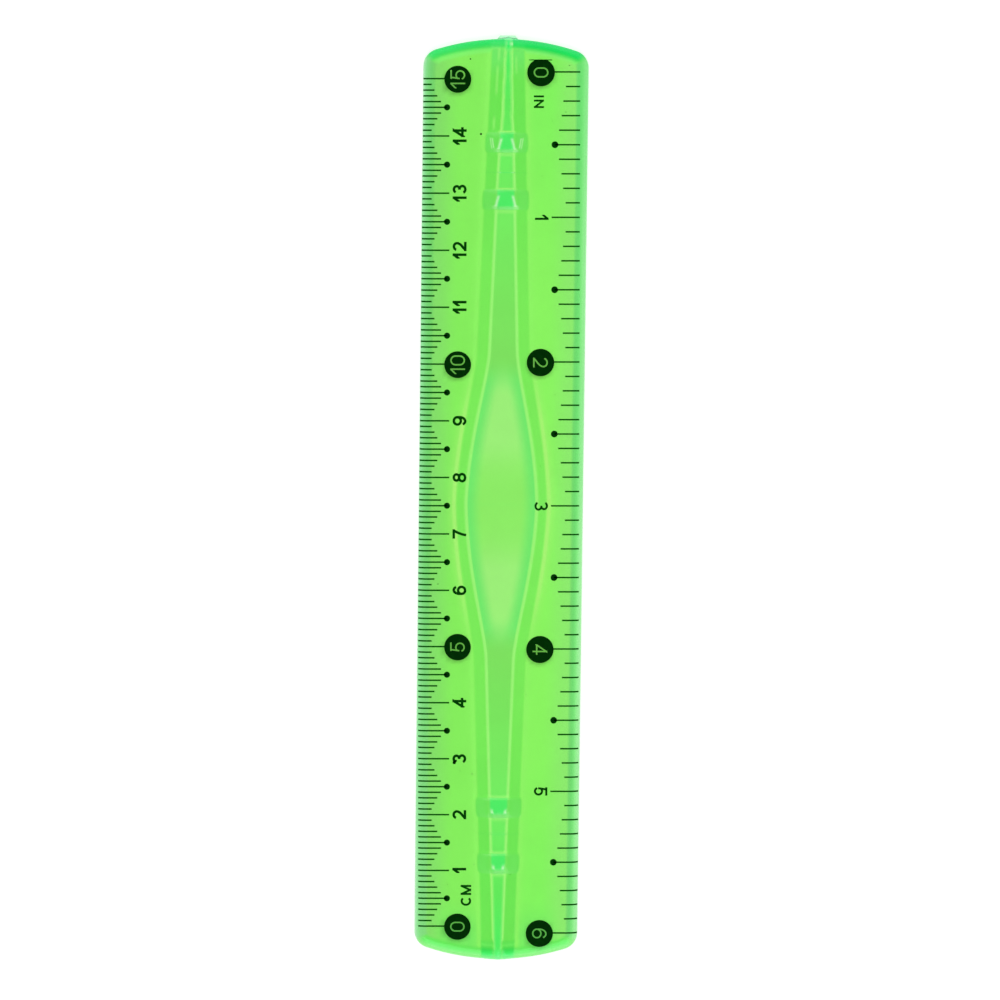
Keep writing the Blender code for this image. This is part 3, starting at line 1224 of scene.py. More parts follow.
SHARP_ANGLE = math.radians(50)
CUT_SLACK = 1e-8
WELD_SLACK = 0.0001 * MM


def even_steps(start: float, stop: float, count: int) -> list[float]:
    """Share a stretch out evenly, from its start on and without its stop."""
    return [start + (stop - start) * step / count for step in range(count)]


def verts_in(geometry: Iterable[object]) -> list[BMVert]:
    """Pick the vertices out of what an operator made."""
    return [item for item in geometry if isinstance(item, BMVert)]


def drawn_from(vert: BMVert, known: dict[BMVert, object]) -> BMVert:
    """Find which of the known vertices a vertex was drawn out of."""
    return next(edge.other_vert(vert) for edge in vert.link_edges if edge.other_vert(vert) in known)


def cut(bm: BMesh, place: tuple, normal: tuple, trim: bool = False) -> None:
    """Cut every face along a plane.

    Args:
        bm: The mesh.
        place: A point of the plane.
        normal: Which way the plane faces.
        trim: Whether to take away what lies on that side of it.
    """
    everything = bm.verts[:] + bm.edges[:] + bm.faces[:]
    bmesh.ops.bisect_plane(bm, geom=everything, dist=CUT_SLACK, plane_co=place, plane_no=normal,
                           clear_outer=trim)


def move(bm: BMesh, x: float, y: float, turn: float = 0.0) -> None:
    """Turn a flat shape about the origin and then move it.

    Args:
        bm: The shape.
        x: How far it moves across the ruler.
        y: How far it moves along the ruler.
        turn: How far it turns anticlockwise, in radians.
    """
    turned = Matrix.Rotation(turn, 3, "Z")
    bmesh.ops.rotate(bm, cent=(0.0, 0.0, 0.0), matrix=turned, verts=bm.verts)
    bmesh.ops.translate(bm, vec=(x, y, 0.0), verts=bm.verts)


def as_mesh(name: str, bm: BMesh) -> bpy.types.Mesh:
    """Turn a bmesh, which is freed, into a mesh.

    Args:
        name: The mesh's name.
        bm: The bmesh.

    Returns:
        The mesh.
    """
    mesh = bpy.data.meshes.new(name)
    bm.to_mesh(mesh)
    bm.free()
    return mesh


def pour(bm: BMesh, into: BMesh) -> None:
    """Add a bmesh, which is freed, to another.

    Args:
        bm: What is added.
        into: What it is added to.
    """
    mesh = as_mesh("shape", bm)
    into.from_mesh(mesh)
    bpy.data.meshes.remove(mesh)


def link(name: str, data: bpy.types.ID) -> bpy.types.Object:
    """Make an object of a mesh, lamp or camera and link it to the scene.

    Args:
        name: The object's name.
        data: What it shows.

    Returns:
        The object, at the origin.
    """
    made = bpy.data.objects.new(name, data)
    bpy.context.scene.collection.objects.link(made)
    return made


def finish_mesh(name: str, bm: BMesh, material: bpy.types.Material) -> bpy.types.Object:
    """Turn a mesh that is in place into an object at the origin.

    Args:
        name: The object's name.
        bm: The mesh, which is freed.
        material: Its finish.

    Returns:
        The object, linked to the scene.
    """
    mesh = as_mesh(name, bm)
    mesh.materials.append(material)
    mesh.shade_smooth()
    mesh.set_sharp_from_angle(angle=SHARP_ANGLE)
    return link(name, mesh)


def mark(mesh: bpy.types.Mesh, name: str, measure: Callable[[Vector], float]) -> None:
    """Store a measure of each vertex as an attribute."""
    values = np.array([measure(vert.co) for vert in mesh.vertices], np.float32)
    mesh.attributes.new(name, "FLOAT", "POINT").data.foreach_set("value", values)


def mark_rest_places(mesh: bpy.types.Mesh) -> None:
    """Store where each vertex lies on the flat ruler, for patterns that bend with it.

    Args:
        mesh: The mesh, while it is flat.
    """
    places = np.zeros(len(mesh.vertices) * 3, np.float32)
    mesh.vertices.foreach_get("co", places)
    attribute = mesh.attributes.new("rest_place", "FLOAT_VECTOR", "POINT")
    attribute.data.foreach_set("vector", places)


def ride_span(piece: bpy.types.Object) -> None:
    """Bake a piece's placement into its mesh."""
    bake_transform(piece)


@dataclass(frozen=True)
class Disc:
    """A printed disc, whose soft shadow is painted into the clear plastic under it."""

    x: float
    y: float
    radius: float
    shade_shift: Pair = (-0.12 * MM, -0.4 * MM)
    softness: float = 0.55 * MM

    def shade(self, x: float, y: float) -> float:
        """How far a place of the plastic lies in the disc's soft shade, 0 to 1."""
        away = math.hypot(x - self.x - self.shade_shift[0], y - self.y - self.shade_shift[1])
        return smooth_share((self.radius + self.softness - away) / (2 * self.softness))


@dataclass
class Moulding:
    """The ruler's one plastic moulding, made span by span."""

    form: RulerForm
    material: bpy.types.Material
    discs: Sequence[Disc]
    row_spacing: float = 0.5 * MM
    crest_steps: int = 6
    flank_steps: int = 10
    plate_steps: int = 8
    rim_steps: int = 12
    collar_shares: tuple[float, ...] = (0.0, 0.25, 0.5, 0.65, 0.78, 0.88, 0.95, 1.0, 1.08)
    collar_margin_share: float = 1.2
    seam_margin: float = 0.05 * MM
    break_middle_share: float = 0.29
    wall_facing: float = 0.9
    wall_lean: float = 0.1
    wall_slack: float = 0.01 * MM
    stub_search: float = 1.0 * MM

    def rim_distances(self) -> list[float]:
        """Distances from the edge at which the rim's curve is laid out, the edge itself last."""
        quarter = math.pi / 2 / self.rim_steps
        return [self.form.rim_width * (1 - math.sin(quarter * step)) for step in range(self.rim_steps + 1)]

    def side_columns(self, row: Row, inset: float, side: int) -> list[float]:
        """Place a row's points across the ruler, from the spine's middle out to one edge.

        Args:
            row: The row.
            inset: How far the outline is drawn in.
            side: 1 for the right edge, -1 for the left.

        Returns:
            The points' places from the ruler's middle line.
        """
        form = self.form
        y = form.middle_y + row.end * (form.half_length - row.depth)
        centre = form.spine_centre(y)
        crest, foot, _ = form.spine_section(y)
        edge = form.row_half_width(row, inset)
        on_spine = even_steps(0.0, crest, self.crest_steps) + even_steps(crest, foot, self.flank_steps)
        plate = even_steps(centre + side * foot, side * (edge - form.rim_width), self.plate_steps)
        rim = [side * (edge - distance) for distance in self.rim_distances()]
        return [centre + side * distance for distance in on_spine] + plate + rim

    def row_plan(self, row: Row, inset: float = 0.0) -> list[Pair]:
        """Plan a row's points from the left edge to the right.

        Args:
            row: The row.
            inset: How far the outline is drawn in.

        Returns:
            The points' places across and along the ruler.
        """
        left, right = self.side_columns(row, inset, -1), self.side_columns(row, inset, 1)
        middle_depth = row.depth + inset * row.bow_share
        points = []
        for x in [*reversed(left[1:]), *right]:
            depth = middle_depth + row.bow_share * self.form.bow_drop(x, inset)
            points.append((x, self.form.middle_y + row.end * (self.form.half_length - depth)))
        return points

    def straight_rows(self, start: float, stop: float) -> list[Row]:
        """Lay straight rows across the ruler, closer together over a collar.

        Args:
            start: Place of the first row along the ruler.
            stop: Place of the last.

        Returns:
            The rows.
        """
        form = self.form
        half = form.collar_length / 2
        count = math.ceil((stop - start) / self.row_spacing)
        plain = [place for place in even_steps(start, stop, count)
                 if abs(form.collar_offset(place)) > self.collar_margin_share * half]
        shares = [side * share for share in self.collar_shares for side in (-1, 1)]
        near = [middle + half * share for middle in form.collar_middles for share in shares]
        near = [place for place in near if start + self.seam_margin < place < stop - self.seam_margin]
        rows = []
        for place in sorted({start, stop, *plain, *near}):
            end = 1 if place > form.middle_y else -1
            rows.append(Row(end, form.half_length - abs(place - form.middle_y), 0.0))
        return rows

    def end_rows(self, span: Span) -> list[Row]:
        """Lay the rows of a span that reaches a bowed end, where they take on the end's bow.

        Args:
            span: The first or the last span.

        Returns:
            The rows, from the zero end on.
        """
        form, end = self.form, span.end
        seam = span.stop if end < 0 else span.start
        rows = self.straight_rows(*sorted((seam, span.line)))
        rows = rows if end > 0 else list(reversed(rows))
        first = rows[-1].depth
        count = math.ceil((first - form.bowed_depth) / self.row_spacing)
        for step in range(1, count + 1):
            share = step / count
            bow_share = 1.0 if step == count else smooth_share(share)
            rows.append(Row(end, first + (form.bowed_depth - first) * share, bow_share))
        count = math.ceil((form.bowed_depth - form.rim_width) / self.row_spacing)
        bowed = even_steps(form.bowed_depth, form.rim_width, count)[1:]
        rows += [Row(end, depth, 1.0) for depth in [*bowed, *self.rim_distances()]]
        return rows if end > 0 else list(reversed(rows))

    def lay(self, ring: Ring, rows: Sequence[Row], inset: float,
            height: float | None) -> None:
        """Put the points of a sheet or ring in place.

        Args:
            ring: Row and column of each point.
            rows: The rows of the span.
            inset: How far the outline is drawn in.
            height: Height of the points, or None for the moulded face's own.
        """
        plans = [self.row_plan(row, inset) for row in rows]
        for vert, (row, column) in ring.items():
            x, y = plans[row][column]
            vert.co = Vector((x, y, self.form.height(x, y) if height is None else height))

    def span_mesh(self, span: Span) -> BMesh:
        """Make the moulding between two seams: face, walls and underside, open at the seams.

        Args:
            span: The span.

        Returns:
            Its mesh.
        """
        rows = self.end_rows(span) if span.end else self.straight_rows(span.start, span.stop)
        across = len(self.row_plan(rows[0]))
        bm = bmesh.new()
        bmesh.ops.create_grid(bm, x_segments=across - 1, y_segments=len(rows) - 1, size=self.form.half_width)
        bm.verts.ensure_lookup_table()
        face = {vert: divmod(index, across) for index, vert in enumerate(bm.verts)}
        copies = bmesh.ops.duplicate(bm, geom=bm.verts[:] + bm.edges[:] + bm.faces[:])["vert_map"]
        under = {copies[vert]: slot for vert, slot in face.items()}
        self.lay(face, rows, 0.0, None)
        self.lay(under, rows, self.form.underside_break, 0.0)
        seams = {row for row, is_open in ((0, span.end >= 0), (len(rows) - 1, span.end <= 0)) if is_open}
        foot = self.drop_walls(bm, self.walled_edges(bm, face, seams), face, rows)
        bmesh.ops.remove_doubles(bm, verts=[*foot, *under], dist=WELD_SLACK)
        bmesh.ops.recalc_face_normals(bm, faces=bm.faces[:])
        return bm

    def walled_edges(self, bm: BMesh, face: Ring,
                     seams: set[int]) -> list[BMEdge]:
        """Pick the edges around the face that walls hang from: all but those on a seam.

        Args:
            bm: The span's mesh.
            face: Row and column of each point of the face.
            seams: Rows that lie on a seam.

        Returns:
            The edges.
        """
        walled = []
        for edge in bm.edges:
            if edge.is_boundary and all(vert in face for vert in edge.verts):
                on_rows = {face[vert][0] for vert in edge.verts}
                if len(on_rows) > 1 or not on_rows <= seams:
                    walled.append(edge)
        return walled

    def drop_walls(self, bm: BMesh, edges: list[BMEdge],
                   last: Ring,
                   rows: Sequence[Row]) -> list[BMVert]:
        """Draw the walls down from the rim and round them into the underside.

        Args:
            bm: The span's mesh.
            edges: The rim's edges.
            last: Row and column of each point of the face.
            rows: The rows of the span.

        Returns:
            The points at the walls' feet.
        """
        radius = self.form.underside_break
        middle = self.break_middle_share * radius
        for inset, height in ((0.0, radius), (middle, middle), (radius, 0.0)):
            made = bmesh.ops.extrude_edge_only(bm, edges=edges)["geom"]
            ring = {vert: last[drawn_from(vert, last)] for vert in verts_in(made)}
            self.lay(ring, rows, inset, height)
            edges = [item for item in made if isinstance(item, BMEdge)]
            edges = [edge for edge in edges if all(vert in ring for vert in edge.verts)]
            last = ring
        return list(last)

    def stub_root(self, bm: BMesh) -> list[BMFace]:
        """Pick the faces of the far end's wall that the stub grows from.

        Args:
            bm: The last span's mesh.

        Returns:
            The upright faces, between the underside's break and the rim's edge.
        """
        form = self.form
        found = []
        for face in bm.faces:
            middle = face.calc_center_median()
            heights = [vert.co.z for vert in face.verts]
            at_end = middle.y > form.middle_y + form.half_length - self.stub_search
            upright = face.normal.y > self.wall_facing and abs(face.normal.z) < self.wall_lean
            whole = (min(heights) > form.underside_break / 2
                     and max(heights) >= form.rim_edge_height - self.wall_slack)
            beside = abs(middle.x - form.stub_side_step) < form.stub_base_width / 2
            if at_end and upright and whole and beside:
                found.append(face)
        return found

    def grow_stub(self, bm: BMesh) -> None:
        """Draw out the little tapered stub that the moulding gate left on the 15 cm end.

        Args:
            bm: The last span's mesh.
        """
        form = self.form
        taper = form.stub_tip_width / form.stub_base_width
        tip = form.middle_y + form.half_length + form.stub_length
        root = self.stub_root(bm)
        for vert in verts_in(bmesh.ops.extrude_face_region(bm, geom=root)["geom"]):
            x = form.stub_side_step + (vert.co.x - form.stub_side_step) * taper
            top = form.stub_top + form.stub_crown_share * (vert.co.z - form.rim_edge_height)
            low = vert.co.z < form.rim_edge_height / 2
            vert.co = Vector((x, tip, form.stub_underside if low else top))
        bmesh.ops.delete(bm, geom=[face for face in root if face.is_valid], context="FACES_ONLY")

    def mark_all(self, mesh: bpy.types.Mesh) -> None:
        """Store what the finish reads: places on the flat ruler, distances in millimetres, masks.

        Args:
            mesh: A span's mesh.
        """
        form = self.form
        mark_rest_places(mesh)
        mark(mesh, "past_crest", lambda p: form.past_spine(p.x, p.y)[0] / MM)
        mark(mesh, "past_foot", lambda p: form.past_spine(p.x, p.y)[1] / MM)
        mark(mesh, "pad", lambda p: form.pad_share(p.y))
        mark(mesh, "from_collar", lambda p: form.collar_offset(p.y) / MM)
        mark(mesh, "from_edge", lambda p: form.edge_distance(p.x, p.y) / MM)
        mark(mesh, "edge_facing", lambda p: form.edge_facing(p.x, p.y))
        mark(mesh, "across", lambda p: p.x / MM)
        mark(mesh, "along", lambda p: (p.y - form.middle_y) / MM)
        mark(mesh, "stub", lambda p: float(form.on_stub(p)))
        # Where the upright edges give off their painted glow.
        mark(mesh, "wall", lambda p: float(form.on_wall(p)))
        # The discs' painted shadow.
        mark(mesh, "print_shade", lambda p: max(disc.shade(p.x, p.y) for disc in self.discs))

    def build(self, span: Span) -> bpy.types.Object:
        """Build one span of the moulding.

        Args:
            span: The span to build.

        Returns:
            The piece, which stands for the two lengths of the frame that it covers.
        """
        bm = self.span_mesh(span)
        if span.end > 0:
            self.grow_stub(bm)
        piece = finish_mesh(f"moulding_{span.index:02d}", bm, self.material)
        self.mark_all(piece.data)
        ride_span(piece)
        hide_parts(*span.nodes)
        return piece


# The printing


class Turn(Enum):
    """Which way a line of printing is turned on the upright ruler."""

    READS_UP = math.pi / 2
    READS_DOWN = -math.pi / 2


@dataclass(frozen=True)
class Lettering:
    """A size and weight of numerals, in metres."""

    cap_height: float
    pen: float
    gap: float


def arc(centre: Pair, radii: Pair, start: float, stop: float, steps: int = 20) -> list[Pair]:
    """Lay out points along part of an oval.

    Args:
        centre: Its middle.
        radii: Half its width and half its height.
        start: Where it starts, in degrees from the right, anticlockwise.
        stop: Where it stops.
        steps: How many steps it has.

    Returns:
        The points, both ends among them.
    """
    turns = [math.radians(start + (stop - start) * step / steps) for step in range(steps + 1)]
    return [(centre[0] + radii[0] * math.cos(t), centre[1] + radii[1] * math.sin(t)) for t in turns]


@dataclass(frozen=True)
class Glyph:
    """A character as pen strokes on a unit square, and its width for a height of 1.

    A stroke of two points is a bar that runs on past both ends, and the square trims it. One of
    more points is a curve, and it is closed if it ends where it starts.
    """

    width: float
    strokes: tuple[list[Pair], ...]

    def half_turned(self, width: float) -> "Glyph":
        """Turn the character upside down and give it another width."""
        return Glyph(width, tuple([(1 - u, 1 - v) for u, v in stroke] for stroke in self.strokes))


SIX = Glyph(0.69, (arc((0.5, 0.31), (0.5, 0.31), 0, 360, 32),
                   [*arc((0.54, 0.5), (0.54, 0.5), 35, 180), (0.0, 0.4), (0.0, 0.31)]))
GLYPHS = {
    "0": Glyph(0.69, ([*arc((0.5, 0.66), (0.5, 0.34), 0, 180), *arc((0.5, 0.34), (0.5, 0.34), 180, 360),
                       (1.0, 0.66)],)),
    "1": Glyph(0.38, ([(1.0, 0.0), (1.0, 1.0)], [(0.0, 0.7), (1.0, 1.02)])),
    "2": Glyph(0.66, ([*arc((0.5, 0.715), (0.5, 0.285), 165, -28), (0.8, 0.43), (0.56, 0.29),
                       (0.26, 0.15), (0.08, 0.05), (0.0, -0.04)], [(0.0, 0.0), (1.0, 0.0)])),
    "3": Glyph(0.67, (arc((0.5, 0.755), (0.46, 0.245), 158, -95), arc((0.5, 0.258), (0.5, 0.258), 95, -162))),
    "4": Glyph(0.71, ([(0.72, 0.0), (0.72, 1.0)], [(0.0, 0.26), (1.0, 0.26)], [(0.0, 0.26), (0.72, 0.98)])),
    "5": Glyph(0.64, ([(0.2, 1.0), (0.92, 1.0)], [(0.2, 1.0), (0.07, 0.47)],
                      arc((0.48, 0.315), (0.52, 0.315), 150, -158))),
    "6": SIX,
    "7": Glyph(0.67, ([(0.0, 1.0), (1.0, 1.0)],
                      [(1.0, 1.0), (0.82, 0.8), (0.64, 0.56), (0.5, 0.3), (0.42, 0.08), (0.39, -0.1)])),
    "8": Glyph(0.7, (arc((0.5, 0.765), (0.43, 0.235), 0, 360, 32),
                     arc((0.5, 0.27), (0.5, 0.27), 0, 360, 32))),
    "9": SIX.half_turned(0.71),
    "C": Glyph(0.91, (arc((0.5, 0.5), (0.5, 0.5), 44, 316, 32),)),
    "M": Glyph(0.96, ([(0.0, 0.0), (0.0, 1.0)], [(1.0, 0.0), (1.0, 1.0)],
                      [(0.0, 1.0), (0.5, 0.0)], [(0.5, 0.0), (1.0, 1.0)])),
    "N": Glyph(0.83, ([(0.0, 0.0), (0.0, 1.0)], [(1.0, 0.0), (1.0, 1.0)], [(0.0, 1.0), (1.0, 0.0)])),
    "I": Glyph(0.0, ([(0.5, 0.0), (0.5, 1.0)],)),
}


@dataclass(frozen=True)
class ScaleLayout:
    """One printed scale: sizes in metres, places in the print's own frame.

    The print's frame has its origin on the 7.5 cm mark, x to the right and y along the ruler.
    """

    unit: float
    last: int
    zero_y: float
    rise: int
    datum_x: float
    inward: int
    minor_lengths: tuple[float, ...]
    dot_reach: float
    whole_length: float
    dot_radius: float
    disc_every: int
    disc_x: float
    disc_radius: float
    disc_drop: float
    numeral_x: float
    turn: Turn
    plain: Lettering
    knocked_out: Lettering
    word: str
    word_place: Pair
    word_look: Lettering
    clipped_disc: int | None = None

    def mark_y(self, value: float) -> float:
        """Place of a mark along the print."""
        return self.zero_y + self.rise * value * self.unit

    def disc_place(self, value: int) -> Pair:
        """Place of a disc's middle on the print, across and along."""
        return self.disc_x, self.mark_y(value) - self.disc_drop


PLAIN_CM = Lettering(cap_height=2.46 * MM, pen=0.46 * MM, gap=0.4 * MM)
PLAIN_IN = Lettering(cap_height=2.4 * MM, pen=0.38 * MM, gap=0.45 * MM)
ON_DISC = Lettering(cap_height=2.6 * MM, pen=0.26 * MM, gap=0.52 * MM)

CENTIMETRES = ScaleLayout(
    unit=10.0 * MM,
    last=15,
    zero_y=-75.0 * MM,
    rise=1,
    datum_x=-14.6 * MM,
    inward=1,
    minor_lengths=(2.4 * MM, 2.9 * MM, 3.4 * MM, 4.05 * MM),
    dot_reach=5.1 * MM,
    whole_length=5.5 * MM,
    dot_radius=0.55 * MM,
    disc_every=5,
    disc_x=-7.63 * MM,
    disc_radius=2.36 * MM,
    disc_drop=0.1 * MM,
    numeral_x=-7.3 * MM,
    turn=Turn.READS_UP,
    plain=PLAIN_CM,
    knocked_out=ON_DISC,
    word="CM",
    word_place=(-6.12 * MM, -69.47 * MM),
    word_look=Lettering(cap_height=1.88 * MM, pen=0.38 * MM, gap=0.24 * MM),
)

INCHES = ScaleLayout(
    unit=25.4 * MM,
    last=6,
    zero_y=76.2 * MM,
    rise=-1,
    datum_x=13.8 * MM,
    inward=-1,
    minor_lengths=(2.5 * MM, 2.95 * MM, 3.25 * MM, 3.7 * MM),
    dot_reach=4.4 * MM,
    whole_length=4.95 * MM,
    dot_radius=0.6 * MM,
    disc_every=2,
    disc_x=6.94 * MM,
    disc_radius=2.42 * MM,
    disc_drop=0.1 * MM,
    numeral_x=7.12 * MM,
    turn=Turn.READS_DOWN,
    plain=PLAIN_IN,
    knocked_out=ON_DISC,
    word="IN",
    word_place=(6.58 * MM, 71.0 * MM),
    word_look=Lettering(cap_height=1.76 * MM, pen=0.34 * MM, gap=0.4 * MM),
    clipped_disc=0,
)


class Thinness(Enum):
    """How thin the ink lies in each kind of print, from 0, solid, to 1."""

    DISC = 0.0
    SPECK = 0.1
    DOT = 0.2
    NUMERAL = 0.4
    WORD = 0.6
    LINE = 1.0


class PrintSheet:
    """The whole printing as flat shapes, before it is laid on the moulding."""

    def __init__(self) -> None:
        """Start an empty sheet."""
        self.bm = bmesh.new()
        self.bm.verts.layers.float.new("thinness")

    def take(self, shape: BMesh, thinness: Thinness) -> None:
        """Add a shape to the sheet.

        Args:
            shape: The shape, which is freed.
            thinness: How thin its ink is.
        """
        layer = shape.verts.layers.float.new("thinness")
        for vert in shape.verts:
            vert[layer] = thinness.value
        pour(shape, self.bm)

    def line(self, x: float, other_x: float, y: float, thickness: float) -> None:
        """Add a straight line across the ruler.

        Args:
            x: Where it starts.
            other_x: Where it stops.
            y: Its place along the ruler.
            thickness: Its thickness.
        """
        shape = bmesh.new()
        bmesh.ops.create_grid(shape, x_segments=1, y_segments=1, size=0.5)
        bmesh.ops.scale(shape, vec=(abs(other_x - x), thickness, 1.0), verts=shape.verts)
        move(shape, (x + other_x) / 2, y)
        self.take(shape, Thinness.LINE)

    def dot(self, x: float, y: float, radius: float, corners: int, thinness: Thinness) -> None:
        """Add a filled round dot.

        Args:
            x: Its place across the ruler.
            y: Its place along the ruler.
            radius: Its radius.
            corners: How many corners its outline has.
            thinness: How thin its ink is.
        """
        shape = bmesh.new()
        bmesh.ops.create_circle(shape, cap_ends=True, segments=corners, radius=radius)
        move(shape, x, y)
        self.take(shape, thinness)


@dataclass(frozen=True)
class GlyphCutter:
    """Cuts numerals and words as flat shapes, set upright about the origin."""

    plate: float = 1.0 * MM
    overrun: float = 0.5 * MM
    closed_share: float = 0.01
    upward: float = 0.5

    def stroke_sides(self, points: Sequence[Vector], closed: bool, pen: float) -> list[Vector]:
        """Find how far a stroke's left side lies from its middle line.

        Args:
            points: The middle line.
            closed: Whether it ends where it starts.
            pen: The stroke's width.

        Returns:
            The step from each point to the left side.
        """
        last = len(points) - 1
        sides = []
        for index in range(len(points)):
            before = points[index - 1] if index or closed else points[index]
            after = points[(index + 1) % len(points)] if index < last or closed else points[index]
            run = (after - before).normalized()
            sides.append(Vector((-run.y, run.x, 0.0)) * pen / 2)
        return sides

    def stroke(self, path: Sequence[Pair], pen: float) -> BMesh:
        """Draw one stroke of the pen.

        Args:
            path: Its middle line.
            pen: Its width.

        Returns:
            The stroke's faces.
        """
        points = [Vector((x, y, 0.0)) for x, y in path]
        closed = (points[0] - points[-1]).length < self.closed_share * pen
        if closed:
            points = points[:-1]
        if len(points) == 2:
            past = (points[1] - points[0]).normalized() * pen
            points = [points[0] - past, points[1] + past]
        sides = self.stroke_sides(points, closed, pen)
        bm = bmesh.new()
        verts = [bm.verts.new(point + side) for point, side in zip(points, sides)]
        edges = [bm.edges.new(pair) for pair in zip(verts, verts[1:])]
        if closed:
            edges.append(bm.edges.new((verts[-1], verts[0])))
        known = {vert: index for index, vert in enumerate(verts)}
        for vert in verts_in(bmesh.ops.extrude_edge_only(bm, edges=edges)["geom"]):
            index = known[drawn_from(vert, known)]
            vert.co = points[index] - sides[index]
        return bm

    def solid(self, shape: BMesh, low: float, high: float) -> bpy.types.Object:
        """Give a flat shape a thickness and make it an object.

        Args:
            shape: The shape, which is freed.
            low: Height of its underside.
            high: Height of its top.

        Returns:
            The object.
        """
        for vert in shape.verts:
            vert.co.z = low
        made = bmesh.ops.extrude_face_region(shape, geom=shape.faces[:], use_keep_orig=True)["geom"]
        for vert in verts_in(made):
            vert.co.z = high
        bmesh.ops.recalc_face_normals(shape, faces=shape.faces[:])
        return link("shape", as_mesh("shape", shape))

    def combine(self, shape: BMesh, other: BMesh,
                operation: str) -> BMesh:
        """Join two flat shapes, or cut one out of the other. Both are freed.

        Args:
            shape: The first shape.
            other: The shape to join or to cut out.
            operation: UNION or DIFFERENCE.

        Returns:
            The flat result.
        """
        over = 0.0 if operation == "UNION" else self.overrun
        pair = [self.solid(shape, 0.0, self.plate), self.solid(other, -over, self.plate + over)]
        modifier = pair[0].modifiers.new("combine", "BOOLEAN")
        modifier.object = pair[1]
        modifier.operation = operation
        modifier.solver = "EXACT"
        modifier.use_self = True
        ready = pair[0].evaluated_get(bpy.context.evaluated_depsgraph_get())
        mesh = bpy.data.meshes.new_from_object(ready)
        bm = bmesh.new()
        bm.from_mesh(mesh)
        for made in (mesh, *(item.data for item in pair)):
            bpy.data.meshes.remove(made)
        for face in bm.faces:
            face.normal_update()
        away = [face for face in bm.faces if face.normal.z < self.upward]
        bmesh.ops.delete(bm, geom=away, context="FACES")
        bmesh.ops.remove_doubles(bm, verts=bm.verts, dist=WELD_SLACK)
        return bm

    def character(self, name: str, look: Lettering) -> tuple[BMesh, float]:
        """Cut one character, standing on y = 0 with its left side on x = 0.

        Args:
            name: The character.
            look: Its size and weight.

        Returns:
            The shape and its width.
        """
        glyph, pen, height = GLYPHS[name], look.pen, look.cap_height
        width = max(glyph.width * height, pen)
        low, high = (0.0, 0.0, 0.0), (width, height, 0.0)
        sides = ((low, (-1.0, 0.0, 0.0)), (low, (0.0, -1.0, 0.0)),
                 (high, (1.0, 0.0, 0.0)), (high, (0.0, 1.0, 0.0)))
        shape = None
        for stroke in glyph.strokes:
            path = [(pen / 2 + u * (width - pen), pen / 2 + v * (height - pen)) for u, v in stroke]
            part = self.stroke(path, pen)
            for place, normal in sides:
                cut(part, place, normal, trim=True)
            shape = self.combine(shape, part, "UNION") if shape else part
        return shape, width

    def words(self, text: str, look: Lettering) -> BMesh:
        """Set characters in a row, centred on the origin.

        Args:
            text: The characters.
            look: Their size and weight.

        Returns:
            The row's faces.
        """
        row = bmesh.new()
        reach = 0.0
        for name in text:
            shape, width = self.character(name, look)
            move(shape, reach, -look.cap_height / 2)
            reach += width + look.gap
            pour(shape, row)
        move(row, (look.gap - reach) / 2, 0.0)
        return row


SPECKS = (
    (-6.23, 77.62, 0.14), (-4.24, 64.56, 0.19), (11.1, 76.69, 0.09), (10.59, 68.58, 0.08),
    (8.25, 66.98, 0.06), (6.53, 57.35, 0.07), (6.17, 44.57, 0.06), (9.3, 19.02, 0.07),
    (6.91, 6.37, 0.06), (-10.93, -14.74, 0.1), (4.85, -34.3, 0.07), (-6.68, -48.0, 0.08),
    (-4.55, -48.51, 0.1), (-7.72, -46.5, 0.32), (-7.45, -46.2, 0.22), (-8.68, -68.36, 0.07),
    (-4.01, -64.71, 0.07), (2.4, -66.34, 0.08),
)


